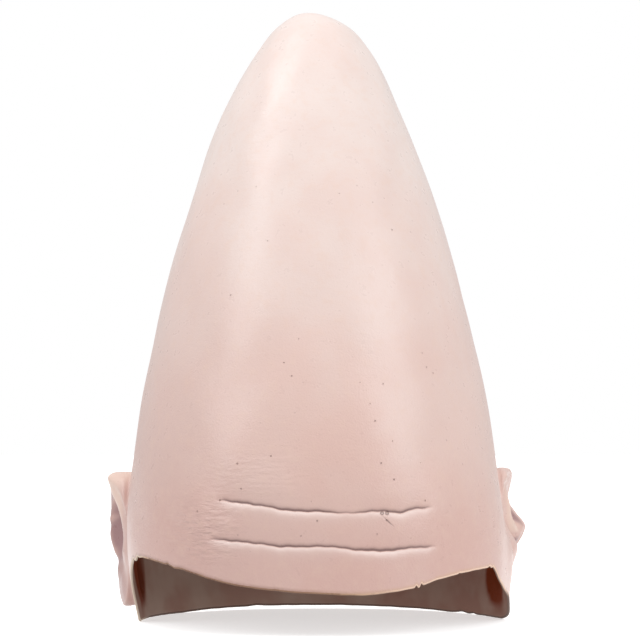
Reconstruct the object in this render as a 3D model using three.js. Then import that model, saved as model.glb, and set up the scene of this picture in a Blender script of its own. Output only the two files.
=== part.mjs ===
// Pointed bald cap, cast as one latex skin: a tall rounded cone with a creased brow, two flaps and two ears.
// Millimetres. +Z is up and the brow faces -Y. The cap stands at Z = 0 on the trimmed edge of its flaps.
//
// Every place on the skin is a bearing and a rise. The bearing is the angle round the cap in degrees, 0 at
// the brow and 90 at the +X side. The rise is the distance up the wall from Z = 0, along its side outline.

import * as THREE from "three";

// Driving dimensions
const WALL = 2; // thickness of the latex
const SECTION_POWER = 2.15; // 2 is an ellipse, more is squarer
const EDGE_BAND = 2.5; // width of the strip of wall along the trimmed edge, below the ears
const PLAIN_RISE = 84; // the wall is plain above this

const CREASE_DEPTH = 1.1;
const CREASE_HALF = 1.2; // half the width of a crease, across it
const CREASE_START = -30; // bearings at which the creases end
const CREASE_END = 35;
const CREASE_FADE = 6; // bearing over which a crease runs out at its ends

const EAR_BEARING = 97.5;
const EAR_WINDOW = [82, 114]; // bearings of the stretch of wall that an ear takes up
const EAR_REACH_BACK = 18; // from the middle of an ear to its rear edge
const EAR_REACH_FRONT = 15;
const EAR_TOP_FLARE = 0.16; // share by which an ear is wider at its top and narrower at its lobe
const EAR_TILT = 8; // degrees that an ear leans back
const EAR_PAD = 1.2; // the whole ear stands at least this far off the wall
const EAR_OVERHANG = 2.2; // how far the rim stands out past its own foot
const LEAN_SHARE = 0.7; // the overhang begins here, as a share of the way from an ear's middle to its outline
const RIM_SHARE = 0.95; // the rim turns down to the wall here
const FOOT_SHARE = 1.1; // and meets it here

const POCKET_DEPTH = 4.5; // hollow inside an ear, left by the casting
const POCKET_SET_BACK = 9;
const POCKET_SET_DOWN = 4;
const POCKET_HALF_WIDTH = 9;
const POCKET_HALF_HEIGHT = 29;

function table(columns, rows) {
  return rows.map((row) => Object.fromEntries(columns.map((name, k) => [name, row[k]])));
}

// Level sections of the outer wall, from the standing edge to the tip
const SECTIONS = table(
  ["height", "halfWidth", "halfDepth", "setBack", "setSide"],
  [
    [0, 91.6, 100.8, -5.4, 2.8],
    [30, 94.2, 105.0, -2.7, 0.6],
    [80, 90.7, 105.5, 2.3, -1.0],
    [132, 82.1, 97.0, 8.8, -1.3],
    [182.5, 70.2, 83.5, 15.8, -1.8],
    [225, 57.2, 68.5, 21.8, -1.9],
    [259, 44.6, 53.5, 26.3, -2.4],
    [287.5, 29.5, 35.5, 29.8, -1.4],
    [301.5, 18.6, 22.6, 31.3, -1.8],
    [309.5, 0, 0, 31.8, -4.2],
  ],
);

// Trimmed lower edge: it droops over the brow, peaks at each temple and falls to the flaps it stands on
const EDGE = table(
  ["bearing", "rise"],
  [
    [-180, 1.6],
    [-150, 1.2],
    [-122, 0],
    [-91.5, 0],
    [-88, 8],
    [-85, 15],
    [-81, 22.5],
    [-76, 28.5],
    [-70, 32.6],
    [-63, 34],
    [-44, 30.3],
    [-24, 23.3],
    [-7, 20.2],
    [10, 18.9],
    [26, 21.5],
    [36, 25.4],
    [48, 28.1],
    [64, 29],
    [70, 27.3],
    [76, 23],
    [82, 17.3],
    [89, 10],
    [97, 0],
    [128, 0],
    [152, 1],
    [180, 1.6],
  ],
);

// Two forehead creases, side by side in one table
const CREASES = table(
  ["bearing", "lowRise", "highRise"],
  [
    [-180, 44, 62.6],
    [-30, 44, 62.6],
    [-14, 42.5, 59.9],
    [2, 41.4, 58.1],
    [16, 39.3, 57.4],
    [34, 40.7, 58.9],
    [180, 40.7, 58.9],
  ],
);

// The ears, -1 at the -X side: rise and half height, and the lift of the rear edge off the wall at each level
const EARS = table(
  ["side", "rise", "halfHeight", "lobeLift", "lowLift", "foldLift", "highLift", "topLift"],
  [
    [-1, 41.5, 32.5, 4.2, 6.2, 8.4, 10.2, 12.4],
    [1, 45, 30.5, 1.2, 3, 11.8, 3.4, 7.2],
  ],
);
const LIFT_LEVELS = [0, 0.34, 0.55, 0.76, 1]; // 0 at the lobe, 1 at the top

// Ridges that follow an ear's outline, at a share of the way out to it. Each runs between two angles in
// degrees, counted from the rear edge and up over the top.
const EAR_RIDGES = table(
  ["height", "share", "width", "startAngle", "endAngle"],
  [
    [3.4, 0.91, 0.085, -45, 165], // helix
    [2.6, 0.62, 0.11, -70, 80], // antihelix
    [1.6, 0.8, 0.2, -135, -50], // lobe
  ],
);
const RIDGE_FADE = 28; // angle over which a ridge runs out

// Single bumps of an ear, from its middle towards the rear and up
const EAR_BUMPS = table(
  ["height", "back", "up", "halfWidth", "halfHeight"],
  [
    [4.2, -9, -4, 4, 6.5], // tragus
    [2.6, 3, -15, 5.5, 4.5], // antitragus
    [2.2, -6, 9, 7, 3.5], // root of the helix
  ],
);

// Bowl of an ear, which takes away this share of the lift
const CONCHA = { back: -2, up: -1, halfWidth: 10, halfHeight: 14, share: 0.92 };

// The mesh: columns on the +X side, steps between the lines that the rows follow, and the rings of an ear
const COLUMN_BANDS = table(
  ["from", "to", "steps"],
  [
    [0, 48, 12],
    [48, EAR_WINDOW[0], 10],
    [...EAR_WINDOW, 10],
    [EAR_WINDOW[1], 180, 10],
  ],
);
const OUTER_STEPS = table(
  ["upTo", "steps"],
  [
    ["edgeBand", 1],
    ["lowCreaseFoot", 5],
    ["lowCrease", 1],
    ["lowCreaseTop", 1],
    ["highCreaseFoot", 2],
    ["highCrease", 1],
    ["highCreaseTop", 1],
    ["plain", 3],
    ["tip", 14],
  ],
);
const INNER_STEPS = table(
  ["upTo", "steps"],
  [
    ["plain", 9],
    ["tip", 9],
  ],
);
const TIP_GATHER = 1.5; // rows crowd together towards the tip
const EAR_RINGS = [FOOT_SHARE, 1.03, 0.97, 0.92, 0.85, 0.76, 0.68, 0.6, 0.5, 0.36, 0.2];

const LATEX = new THREE.MeshStandardMaterial({ color: 0xe2c1b5, roughness: 0.42, metalness: 0 });

const { clamp, degToRad, euclideanModulo, lerp, radToDeg, smoothstep } = THREE.MathUtils;
const column = (rows, name) => rows.map((row) => row[name]);
const bell = (x, y = 0) => Math.exp(-x * x - y * y);

// Smooth lines through the values of a table

function cubicThrough(knots, values, slopes) {
  return (at) => {
    let k = 0;
    while (k < knots.length - 2 && at > knots[k + 1]) k += 1;
    const span = knots[k + 1] - knots[k];
    const u = (at - knots[k]) / span;
    const fromLeft = values[k] * (1 + 2 * u) + slopes[k] * span * u;
    const fromRight = values[k + 1] * (3 - 2 * u) + slopes[k + 1] * span * (u - 1);
    return fromLeft * (1 - u) ** 2 + fromRight * u * u;
  };
}

function gradientsOf(knots, values) {
  return knots.slice(1).map((knot, k) => (values[k + 1] - values[k]) / (knot - knots[k]));
}

// A rounded line: each slope is that of the parabola through a value and its two neighbours
function roundLine(knots, values, lastSlope) {
  const gradients = gradientsOf(knots, values);
  const slopes = values.map((_, k) => {
    if (k === 0) return gradients[0];
    if (k === values.length - 1) return lastSlope;
    const below = (knots[k] - knots[k - 1]) / (knots[k + 1] - knots[k - 1]);
    return lerp(gradients[k - 1], gradients[k], below);
  });
  return cubicThrough(knots, values, slopes);
}

// A calm line, which never swings past its own values
function calmLine(knots, values) {
  const gradients = gradientsOf(knots, values);
  const slopes = values.map((_, k) => {
    const [before, after] = [gradients[k - 1] ?? 0, gradients[k] ?? 0];
    return before * after > 0 ? (2 * before * after) / (before + after) : 0;
  });
  return cubicThrough(knots, values, slopes);
}

// The wall

const SECTION_RISES = SECTIONS.reduce((rises, row, k) => {
  const below = SECTIONS[Math.max(k - 1, 0)];
  const step = Math.hypot(row.height - below.height, row.halfWidth - below.halfWidth);
  return [...rises, (rises.at(-1) ?? 0) + step];
}, []);
const TIP_RISE = SECTION_RISES.at(-1);

// At the tip the skin is level, so there the half width falls as fast as the rise grows
function sectionLine(name) {
  const values = column(SECTIONS, name);
  const closes = values.at(-1) === 0;
  const lastSlope = closes ? -values.at(-2) / SECTIONS.at(-2).halfWidth : 0;
  return roundLine(SECTION_RISES, values, lastSlope);
}

const heightAt = sectionLine("height");
const halfWidthAt = sectionLine("halfWidth");
const halfDepthAt = sectionLine("halfDepth");
const setBackAt = sectionLine("setBack");
const setSideAt = sectionLine("setSide");
const squared = (x) => Math.sign(x) * Math.abs(x) ** (2 / SECTION_POWER);

function wallPoint(bearing, rise) {
  const angle = degToRad(bearing);
  const x = setSideAt(rise) + halfWidthAt(rise) * squared(Math.sin(angle));
  const y = setBackAt(rise) - halfDepthAt(rise) * squared(Math.cos(angle));
  return new THREE.Vector3(x, y, heightAt(rise));
}

function wallNormal(bearing, rise) {
  const step = 0.5;
  const around = wallPoint(bearing + step, rise).sub(wallPoint(bearing - step, rise));
  const up = wallPoint(bearing, rise + step).sub(wallPoint(bearing, rise - step));
  return around.cross(up).normalize();
}

const offWall = (bearing, rise, height) =>
  wallPoint(bearing, rise).addScaledVector(wallNormal(bearing, rise), height);

const edgeRise = calmLine(column(EDGE, "bearing"), column(EDGE, "rise"));
const lowCreaseRise = calmLine(column(CREASES, "bearing"), column(CREASES, "lowRise"));
const highCreaseRise = calmLine(column(CREASES, "bearing"), column(CREASES, "highRise"));

function creaseDepth(bearing) {
  const start = smoothstep(bearing, CREASE_START, CREASE_START + CREASE_FADE);
  const end = 1 - smoothstep(bearing, CREASE_END - CREASE_FADE, CREASE_END);
  return CREASE_DEPTH * start * end;
}

// An ear, in its own flat frame on the wall: X towards the rear of the cap and Y up, from the ear's middle
class Ear {
  constructor({ side, rise, halfHeight, ...lifts }) {
    this.side = side;
    this.rise = rise;
    this.halfHeight = halfHeight;
    this.liftAt = calmLine(LIFT_LEVELS, Object.values(lifts));
    const [before, after] = [EAR_BEARING - 1, EAR_BEARING + 1].map((bearing) => wallPoint(bearing, rise));
    this.mmPerDegree = before.distanceTo(after) / 2;
  }

  turned(place, degrees) {
    return place.rotateAround(new THREE.Vector2(), degToRad(degrees));
  }

  fromWall(bearing, rise) {
    const back = (this.side * bearing - EAR_BEARING) * this.mmPerDegree;
    return this.turned(new THREE.Vector2(back, rise - this.rise), EAR_TILT);
  }

  toWall(place) {
    const upright = this.turned(place.clone(), -EAR_TILT);
    return [this.side * (EAR_BEARING + upright.x / this.mmPerDegree), this.rise + upright.y];
  }

  reach(angle, towardsRear) {
    return (towardsRear ? EAR_REACH_BACK : EAR_REACH_FRONT) * (1 + EAR_TOP_FLARE * Math.sin(angle));
  }

  outline(angle) {
    const across = this.reach(angle, Math.cos(angle) > 0) * Math.cos(angle);
    return new THREE.Vector2(across, this.halfHeight * Math.sin(angle));
  }

  // Angle of the outline point that a place lies towards. The reach depends on it, so a few passes find it.
  angleTowards(place) {
    let angle = place.angle();
    for (let pass = 0; pass < 4; pass += 1) {
      angle = Math.atan2(place.y / this.halfHeight, place.x / this.reach(angle, place.x > 0));
    }
    return angle;
  }

  // Share of a ridge that is left at an angle: it runs out at its two ends
  ridgeShare({ startAngle, endAngle }, angle) {
    const half = (endAngle - startAngle) / 2;
    const offset = radToDeg(angle) - startAngle - half;
    const away = Math.abs(euclideanModulo(offset + 180, 360) - 180);
    return 1 - smoothstep(away, half - RIDGE_FADE, half);
  }

  // Height over the wall, at an angle and a share of the way out to the outline
  height(angle, share) {
    const place = this.outline(angle).multiplyScalar(share);
    const level = clamp(0.5 + place.y / (2 * this.halfHeight), 0, 1);
    const across = (place.x - CONCHA.back) / CONCHA.halfWidth;
    const up = (place.y - CONCHA.up) / CONCHA.halfHeight;
    const bowl = CONCHA.share * bell(across ** 2 + up ** 2);
    const leaf = this.liftAt(level) * smoothstep(place.x, -EAR_REACH_FRONT, EAR_REACH_BACK / 2);
    let height = EAR_PAD + leaf * (1 - bowl);
    for (const ridge of EAR_RIDGES) {
      height += ridge.height * bell((share - ridge.share) / ridge.width) * this.ridgeShare(ridge, angle);
    }
    for (const bump of EAR_BUMPS) {
      const [x, y] = [(place.x - bump.back) / bump.halfWidth, (place.y - bump.up) / bump.halfHeight];
      height += bump.height * bell(x, y);
    }
    return height * (1 - smoothstep(share, RIM_SHARE, FOOT_SHARE));
  }

  point(angle, share) {
    const lean = smoothstep(share, LEAN_SHARE, RIM_SHARE) * (1 - smoothstep(share, RIM_SHARE, FOOT_SHARE));
    const outline = this.outline(angle);
    const place = outline.clone().multiplyScalar(share);
    place.addScaledVector(outline.normalize(), EAR_OVERHANG * lean);
    return offWall(...this.toWall(place), this.height(angle, share));
  }

  // Depth of the hollow inside, at a place on the inner wall
  pocketDepth(bearing, rise) {
    const place = this.fromWall(bearing, rise);
    const across = (place.x - POCKET_SET_BACK) / POCKET_HALF_WIDTH;
    const along = (place.y + POCKET_SET_DOWN) / POCKET_HALF_HEIGHT;
    return POCKET_DEPTH * Math.max(0, 1 - across ** 2 - along ** 2);
  }
}

const ears = EARS.map((row) => new Ear(row));

// The mesh

const points = [];
const faces = [];

function addPoint(point) {
  points.push(point);
  return points.length - 1;
}

function addQuad(a, b, c, d) {
  faces.push([a, b, c], [a, c, d]);
}

function closeRing(ring, tip) {
  ring.forEach((point, k) => faces.push([point, ring[(k + 1) % ring.length], tip]));
}

function joinRings(ring, next, skipped = () => false) {
  ring.forEach((point, k) => {
    const after = (k + 1) % ring.length;
    if (!skipped(k)) addQuad(point, ring[after], next[after], next[k]);
  });
}

const halfBearings = COLUMN_BANDS.flatMap(({ from, to, steps }) =>
  Array.from({ length: steps }, (_, k) => lerp(from, to, (k + 1) / steps)),
);
const BEARINGS = [...halfBearings.map((bearing) => -bearing).reverse(), 0, ...halfBearings.slice(0, -1)];

// Rises of the named lines that the rows follow at a bearing
function linesAt(bearing) {
  const edge = edgeRise(bearing);
  const [lowCrease, highCrease] = [lowCreaseRise(bearing), highCreaseRise(bearing)];
  return {
    edgeBand: edge + EDGE_BAND,
    lowCreaseFoot: lowCrease - CREASE_HALF,
    lowCrease,
    lowCreaseTop: lowCrease + CREASE_HALF,
    highCreaseFoot: highCrease - CREASE_HALF,
    highCrease,
    highCreaseTop: highCrease + CREASE_HALF,
    plain: PLAIN_RISE,
    tip: TIP_RISE,
  };
}

// Rises of all rows at a bearing, from the trimmed edge to the last row below the tip
function rowRises(bearing, stepTable) {
  const lines = linesAt(bearing);
  let from = edgeRise(bearing);
  return stepTable.flatMap(({ upTo, steps }) => {
    const start = from;
    from = lines[upTo];
    return Array.from({ length: steps }, (_, k) => {
      const share = upTo === "tip" ? 1 - (1 - k / steps) ** TIP_GATHER : k / steps;
      return lerp(start, lines[upTo], share);
    });
  });
}

// Number of the row that lies on a named line
function rowOn(line, stepTable) {
  const last = stepTable.findIndex(({ upTo }) => upTo === line);
  return column(stepTable.slice(0, last + 1), "steps").reduce((sum, steps) => sum + steps);
}

function addRows(rises, pointAt) {
  const addRow = (row) => BEARINGS.map((bearing, k) => addPoint(pointAt(bearing, rises[k][row], row)));
  return rises[0].map((_, row) => addRow(row));
}

// Outer skin, with a window left for each ear
const outerRises = BEARINGS.map((bearing) => rowRises(bearing, OUTER_STEPS));
const creaseRows = ["lowCrease", "highCrease"].map((line) => rowOn(line, OUTER_STEPS));
const outer = addRows(outerRises, (bearing, rise, row) =>
  offWall(bearing, rise, creaseRows.includes(row) ? -creaseDepth(bearing) : 0),
);

const [windowSill, windowHead] = ["edgeBand", "plain"].map((line) => rowOn(line, OUTER_STEPS));
const besideEar = (bearing) => Math.abs(bearing) >= EAR_WINDOW[0] && Math.abs(bearing) <= EAR_WINDOW[1];
const columnInWindow = (k) => besideEar(BEARINGS[k]) && besideEar(BEARINGS[(k + 1) % BEARINGS.length]);

outer.slice(0, -1).forEach((ring, row) => {
  const rowInWindow = row >= windowSill && row < windowHead;
  joinRings(ring, outer[row + 1], (k) => rowInWindow && columnInWindow(k));
});
closeRing(outer.at(-1), addPoint(wallPoint(0, TIP_RISE)));

// Frame of an ear's window as [row, column] pairs, counter-clockwise from outside
function windowFrame(side) {
  const columns = [...BEARINGS.keys()].filter((k) => besideEar(BEARINGS[k]) && side * BEARINGS[k] > 0);
  const rows = Array.from({ length: windowHead - windowSill + 1 }, (_, k) => windowSill + k);
  return [
    ...columns.slice(0, -1).map((k) => [windowSill, k]),
    ...rows.slice(0, -1).map((row) => [row, columns.at(-1)]),
    ...columns.slice(1).reverse().map((k) => [windowHead, k]),
    ...rows.slice(1).reverse().map((row) => [row, columns[0]]),
  ];
}

// Each ear is a set of rings, from its window's frame to its middle
for (const ear of ears) {
  const frame = windowFrame(ear.side);
  const angles = frame.map(([row, k]) => ear.angleTowards(ear.fromWall(BEARINGS[k], outerRises[k][row])));
  let ring = frame.map(([row, k]) => outer[row][k]);
  for (const share of EAR_RINGS) {
    const next = angles.map((angle) => addPoint(ear.point(angle, share)));
    joinRings(ring, next);
    ring = next;
  }
  closeRing(ring, addPoint(ear.point(0, 0)));
}

// Inner skin, one wall thickness in, with the ears' hollows. Its lowest row is level with the outer edge.
const outerFaceCount = faces.length;
const innerRises = BEARINGS.map((bearing) => rowRises(bearing, INNER_STEPS));
const inner = addRows(innerRises, (bearing, rise, row) => {
  const ear = ears.find(({ side }) => side * bearing > 0) ?? ears[0];
  const point = offWall(bearing, rise, ear.pocketDepth(bearing, rise) - WALL);
  if (row === 0) point.z = heightAt(rise);
  return point;
});
inner.slice(0, -1).forEach((ring, row) => joinRings(ring, inner[row + 1]));
closeRing(inner.at(-1), addPoint(wallPoint(0, TIP_RISE).setZ(heightAt(TIP_RISE) - WALL)));
faces.slice(outerFaceCount).forEach((face) => face.reverse());

// Trimmed edge, between the two skins
joinRings(inner[0], outer[0]);

const geometry = new THREE.BufferGeometry().setFromPoints(points);
geometry.setIndex(faces.flat());
geometry.computeVertexNormals();

const latexCap = new THREE.Mesh(geometry, LATEX);
latexCap.name = "latex_cap";

const cap = new THREE.Group();
cap.add(latexCap);

export default cap;
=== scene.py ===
"""Look of the pointed bald cap.

It is one slip-cast latex skin, painted outside, raw inside and cut along its edge. Lengths are millimetres
until a mesh is made. A place on the skin is a bearing and a rise: the bearing is the angle round the cap in
degrees, 0 at the brow and 90 at the +X side, and the rise is the distance up the wall from the surface that
the cap stands on.
"""
import logging
import math
from collections.abc import Mapping, Sequence
from dataclasses import dataclass, field
from enum import Enum, IntEnum
from typing import NamedTuple, Optional, Union

import bpy
import numpy as np
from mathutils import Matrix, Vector


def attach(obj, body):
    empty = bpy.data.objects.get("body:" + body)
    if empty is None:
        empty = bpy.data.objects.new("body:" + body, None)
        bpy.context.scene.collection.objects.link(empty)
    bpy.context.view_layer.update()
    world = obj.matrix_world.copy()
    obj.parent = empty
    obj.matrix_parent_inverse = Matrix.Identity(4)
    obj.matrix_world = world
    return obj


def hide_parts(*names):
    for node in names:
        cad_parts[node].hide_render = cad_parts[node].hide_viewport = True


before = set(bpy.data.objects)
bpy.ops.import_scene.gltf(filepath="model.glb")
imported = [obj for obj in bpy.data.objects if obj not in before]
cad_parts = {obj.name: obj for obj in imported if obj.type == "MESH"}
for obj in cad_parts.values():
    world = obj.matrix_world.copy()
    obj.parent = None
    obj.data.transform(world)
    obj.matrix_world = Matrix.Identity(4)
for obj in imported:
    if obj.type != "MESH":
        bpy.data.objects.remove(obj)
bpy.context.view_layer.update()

METRE = 1000.0  # millimetres
NOISE_MIDDLE = 0.5  # of a noise that runs from 0 to 1
MIX_SHARE, MIX_FIRST, MIX_SECOND, MIX_RESULT = 0, 6, 7, 2  # sockets of a Mix node for colours
NODE = "latex_cap"
BODY = "root"

Array = np.ndarray
Colour = tuple[float, float, float, float]
Span = tuple[float, float]  # where a smooth step starts and ends

log = logging.getLogger("pointed_bald_cap")


# Formulas that the shapes share

def smooth(at: Array, start: float, end: float) -> Array:
    """Rises from 0 at start to 1 at end, level at both."""
    u = np.clip((at - start) / (end - start), 0.0, 1.0)
    return u * u * (3.0 - 2.0 * u)


def bell(x: Array, y: Union[Array, float] = 0.0) -> Array:
    """1 in the middle, falling away as a bell curve of the distance."""
    return np.exp(-(x * x) - (y * y))


def unit(vectors: Array) -> Array:
    """The same directions with a length of 1."""
    return vectors / np.linalg.norm(vectors, axis=-1, keepdims=True)


@dataclass(frozen=True)
class SmoothLine:
    """A line through the values of a table, with one cubic between each two knots.

    Between two knots the value is the cubic that has the table's values and the given slopes at both ends.
    """

    knots: Array
    values: Array
    slopes: Array

    @classmethod
    def rounded(cls, knots: Array, values: Array, last_slope: float) -> "SmoothLine":
        """A line whose slopes are those of the parabola through a value and its two neighbours.

        Args:
            knots: places of the values, rising.
            values: one value for each knot.
            last_slope: the slope at the last knot.

        Returns:
            The line.
        """
        steps = np.diff(knots)
        gradients = np.diff(values) / steps
        share = steps[:-1] / (knots[2:] - knots[:-2])
        inner = gradients[:-1] + (gradients[1:] - gradients[:-1]) * share
        return cls(knots, values, np.concatenate([gradients[:1], inner, [last_slope]]))

    @classmethod
    def calm(cls, knots: Array, values: Array) -> "SmoothLine":
        """A line that never swings past its own values: its slopes are harmonic means of both gradients.

        Args:
            knots: places of the values, rising.
            values: one value for each knot.

        Returns:
            The line.
        """
        gradients = np.diff(values) / np.diff(knots)
        before = np.concatenate([[0.0], gradients])
        after = np.concatenate([gradients, [0.0]])
        same_way = before * after > 0
        total = np.where(same_way, before + after, 1.0)
        return cls(knots, values, np.where(same_way, 2.0 * before * after / total, 0.0))

    def __call__(self, at: Array) -> Array:
        """Value of the line.

        Args:
            at: places between the knots.

        Returns:
            One value for each place.
        """
        k = np.clip(np.searchsorted(self.knots, at) - 1, 0, len(self.knots) - 2)
        span = self.knots[k + 1] - self.knots[k]
        u = (at - self.knots[k]) / span
        from_left = self.values[k] * (1 + 2 * u) + self.slopes[k] * span * u
        from_right = self.values[k + 1] * (3 - 2 * u) + self.slopes[k + 1] * span * (u - 1)
        return from_left * (1 - u) ** 2 + from_right * u * u


def columns_of(rows: Sequence[NamedTuple]) -> dict[str, Array]:
    """The columns of a table of named rows, as arrays."""
    return {name: np.array([getattr(row, name) for row in rows], float) for name in rows[0]._fields}


# The wall of the cap

class Section(NamedTuple):
    """A level section of the outer wall."""

    height: float
    half_width: float
    half_depth: float
    set_back: float
    set_side: float


class Curl(NamedTuple):
    """A stretch of the edge that bends outwards: how far, about which bearing, and up to which rise."""

    height: float
    bearing: float
    half_bearing: float
    reach: float


class Cheek(NamedTuple):
    """A soft swelling of the wall: its height, its middle's bearing and rise, and its half sizes."""

    height: float
    bearing: float
    half_bearing: float
    rise: float
    half_rise: float


class Wave(NamedTuple):
    """One gentle swell of the hand-cast wall: height, count round the cap, length and phase."""

    height: float
    times_round: int
    length: float
    phase: float


@dataclass
class Wall:
    """The outer wall: level sections that are squared ellipses, from the standing edge to the tip."""

    squareness: float = 2.15  # 2 is an ellipse
    sections: tuple[Section, ...] = (
        Section(0, 91.6, 100.8, -5.4, 2.8),
        Section(30, 94.2, 105.0, -2.7, 0.6),
        Section(80, 90.7, 105.5, 2.3, -1.0),
        Section(132, 82.1, 97.0, 8.8, -1.3),
        Section(182.5, 70.2, 83.5, 15.8, -1.8),
        Section(225, 57.2, 68.5, 21.8, -1.9),
        Section(259, 44.6, 53.5, 26.3, -2.4),
        Section(287.5, 29.5, 35.5, 29.8, -1.4),
        Section(301.5, 18.6, 22.6, 31.3, -1.8),
        Section(309.5, 0.0, 0.0, 31.8, -4.2),
    )
    waves: tuple[Wave, ...] = (
        Wave(0.30, 5, 96.0, 0.7),
        Wave(0.22, 9, 61.0, 2.1),
        Wave(0.16, 14, 43.0, 4.4),
    )
    calm_tip: float = 60.0  # the swells die out over this distance to the tip
    curls: tuple[Curl, ...] = (Curl(3.2, 96.0, 10.0, 20.0), Curl(0.6, -72.0, 5.0, 40.0))
    cheeks: tuple[Cheek, ...] = (
        Cheek(1.8, 88.5, 6.5, 27.0, 12.0),  # before the right lobe
        Cheek(2.4, 91.5, 6.5, 37.5, 9.0),  # before the right tragus
    )
    lines: dict[str, SmoothLine] = field(init=False)
    tip_rise: float = field(init=False)

    def __post_init__(self) -> None:
        """Works out the rise of each section and the smooth line of each column."""
        table = columns_of(self.sections)
        steps = np.hypot(np.diff(table["height"]), np.diff(table["half_width"]))
        rises = np.concatenate([[0.0], np.cumsum(steps)])
        self.tip_rise = float(rises[-1])
        self.lines = {}
        for name, values in table.items():
            # The skin is level at the tip, so there the half width falls as fast as the rise grows.
            closing = values[-2] / table["half_width"][-2] if values[-1] == 0 else 0.0
            self.lines[name] = SmoothLine.rounded(rises, values, -closing)

    def _squared(self, x: Array) -> Array:
        """A sine or cosine, drawn out to the squared ellipse."""
        return np.sign(x) * np.abs(x) ** (2 / self.squareness)

    def point(self, bearing: Array, rise: Array) -> Array:
        """Point of the wall: the section's middle, plus its half sizes times the squared sine and cosine.

        Args:
            bearing: bearings in degrees.
            rise: rises, of the same shape.

        Returns:
            The points, with x, y and z along the last axis.
        """
        angle = np.radians(bearing)
        x = self.lines["set_side"](rise) + self.lines["half_width"](rise) * self._squared(np.sin(angle))
        y = self.lines["set_back"](rise) - self.lines["half_depth"](rise) * self._squared(np.cos(angle))
        return np.stack([x, y, self.lines["height"](rise)], axis=-1)

    def normal(self, bearing: Array, rise: Array, step: float = 0.5) -> Array:
        """Outward direction: the step round the wall crossed with the step up it.

        Args:
            bearing: bearings in degrees.
            rise: rises, of the same shape.
            step: half the distance over which the two steps are measured.

        Returns:
            Unit vectors.
        """
        around = self.point(bearing + step, rise) - self.point(bearing - step, rise)
        up = self.point(bearing, rise + step) - self.point(bearing, rise - step)
        return unit(np.cross(around, up))

    def swell(self, bearing: Array, rise: Array) -> Array:
        """Unevenness of the soft skin: sine waves round and up the wall, the edge's curls and the cheeks.

        Args:
            bearing: bearings in degrees.
            rise: rises, of the same shape.

        Returns:
            Heights off the even wall, which die out at the tip.
        """
        angle = np.radians(bearing)
        total = np.zeros_like(rise)
        for wave in self.waves:
            up = 2 * np.pi * rise / wave.length
            total += wave.height * np.sin(wave.times_round * angle + wave.phase) * np.sin(up + wave.phase)
        total *= 1 - smooth(rise, self.tip_rise - self.calm_tip, self.tip_rise)
        for curl in self.curls:
            across = bell((bearing - curl.bearing) / curl.half_bearing)
            total += curl.height * across * (1 - smooth(rise, 0.0, curl.reach))
        for cheek in self.cheeks:
            across = (bearing - cheek.bearing) / cheek.half_bearing
            total += cheek.height * bell(across, (rise - cheek.rise) / cheek.half_rise)
        return total

    def off(self, bearing: Array, rise: Array, height: Array) -> Array:
        """Points at a height off the uneven wall."""
        lift = height + self.swell(bearing, rise)
        return self.point(bearing, rise) + self.normal(bearing, rise) * lift[..., None]


class EdgeStep(NamedTuple):
    """A point of the trimmed edge."""

    bearing: float
    rise: float


class Nick(NamedTuple):
    """A small fault of the trim: how far it cuts up into the skin, or hangs below it, over a half width."""

    bearing: float
    cut: float
    half_width: float


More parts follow.
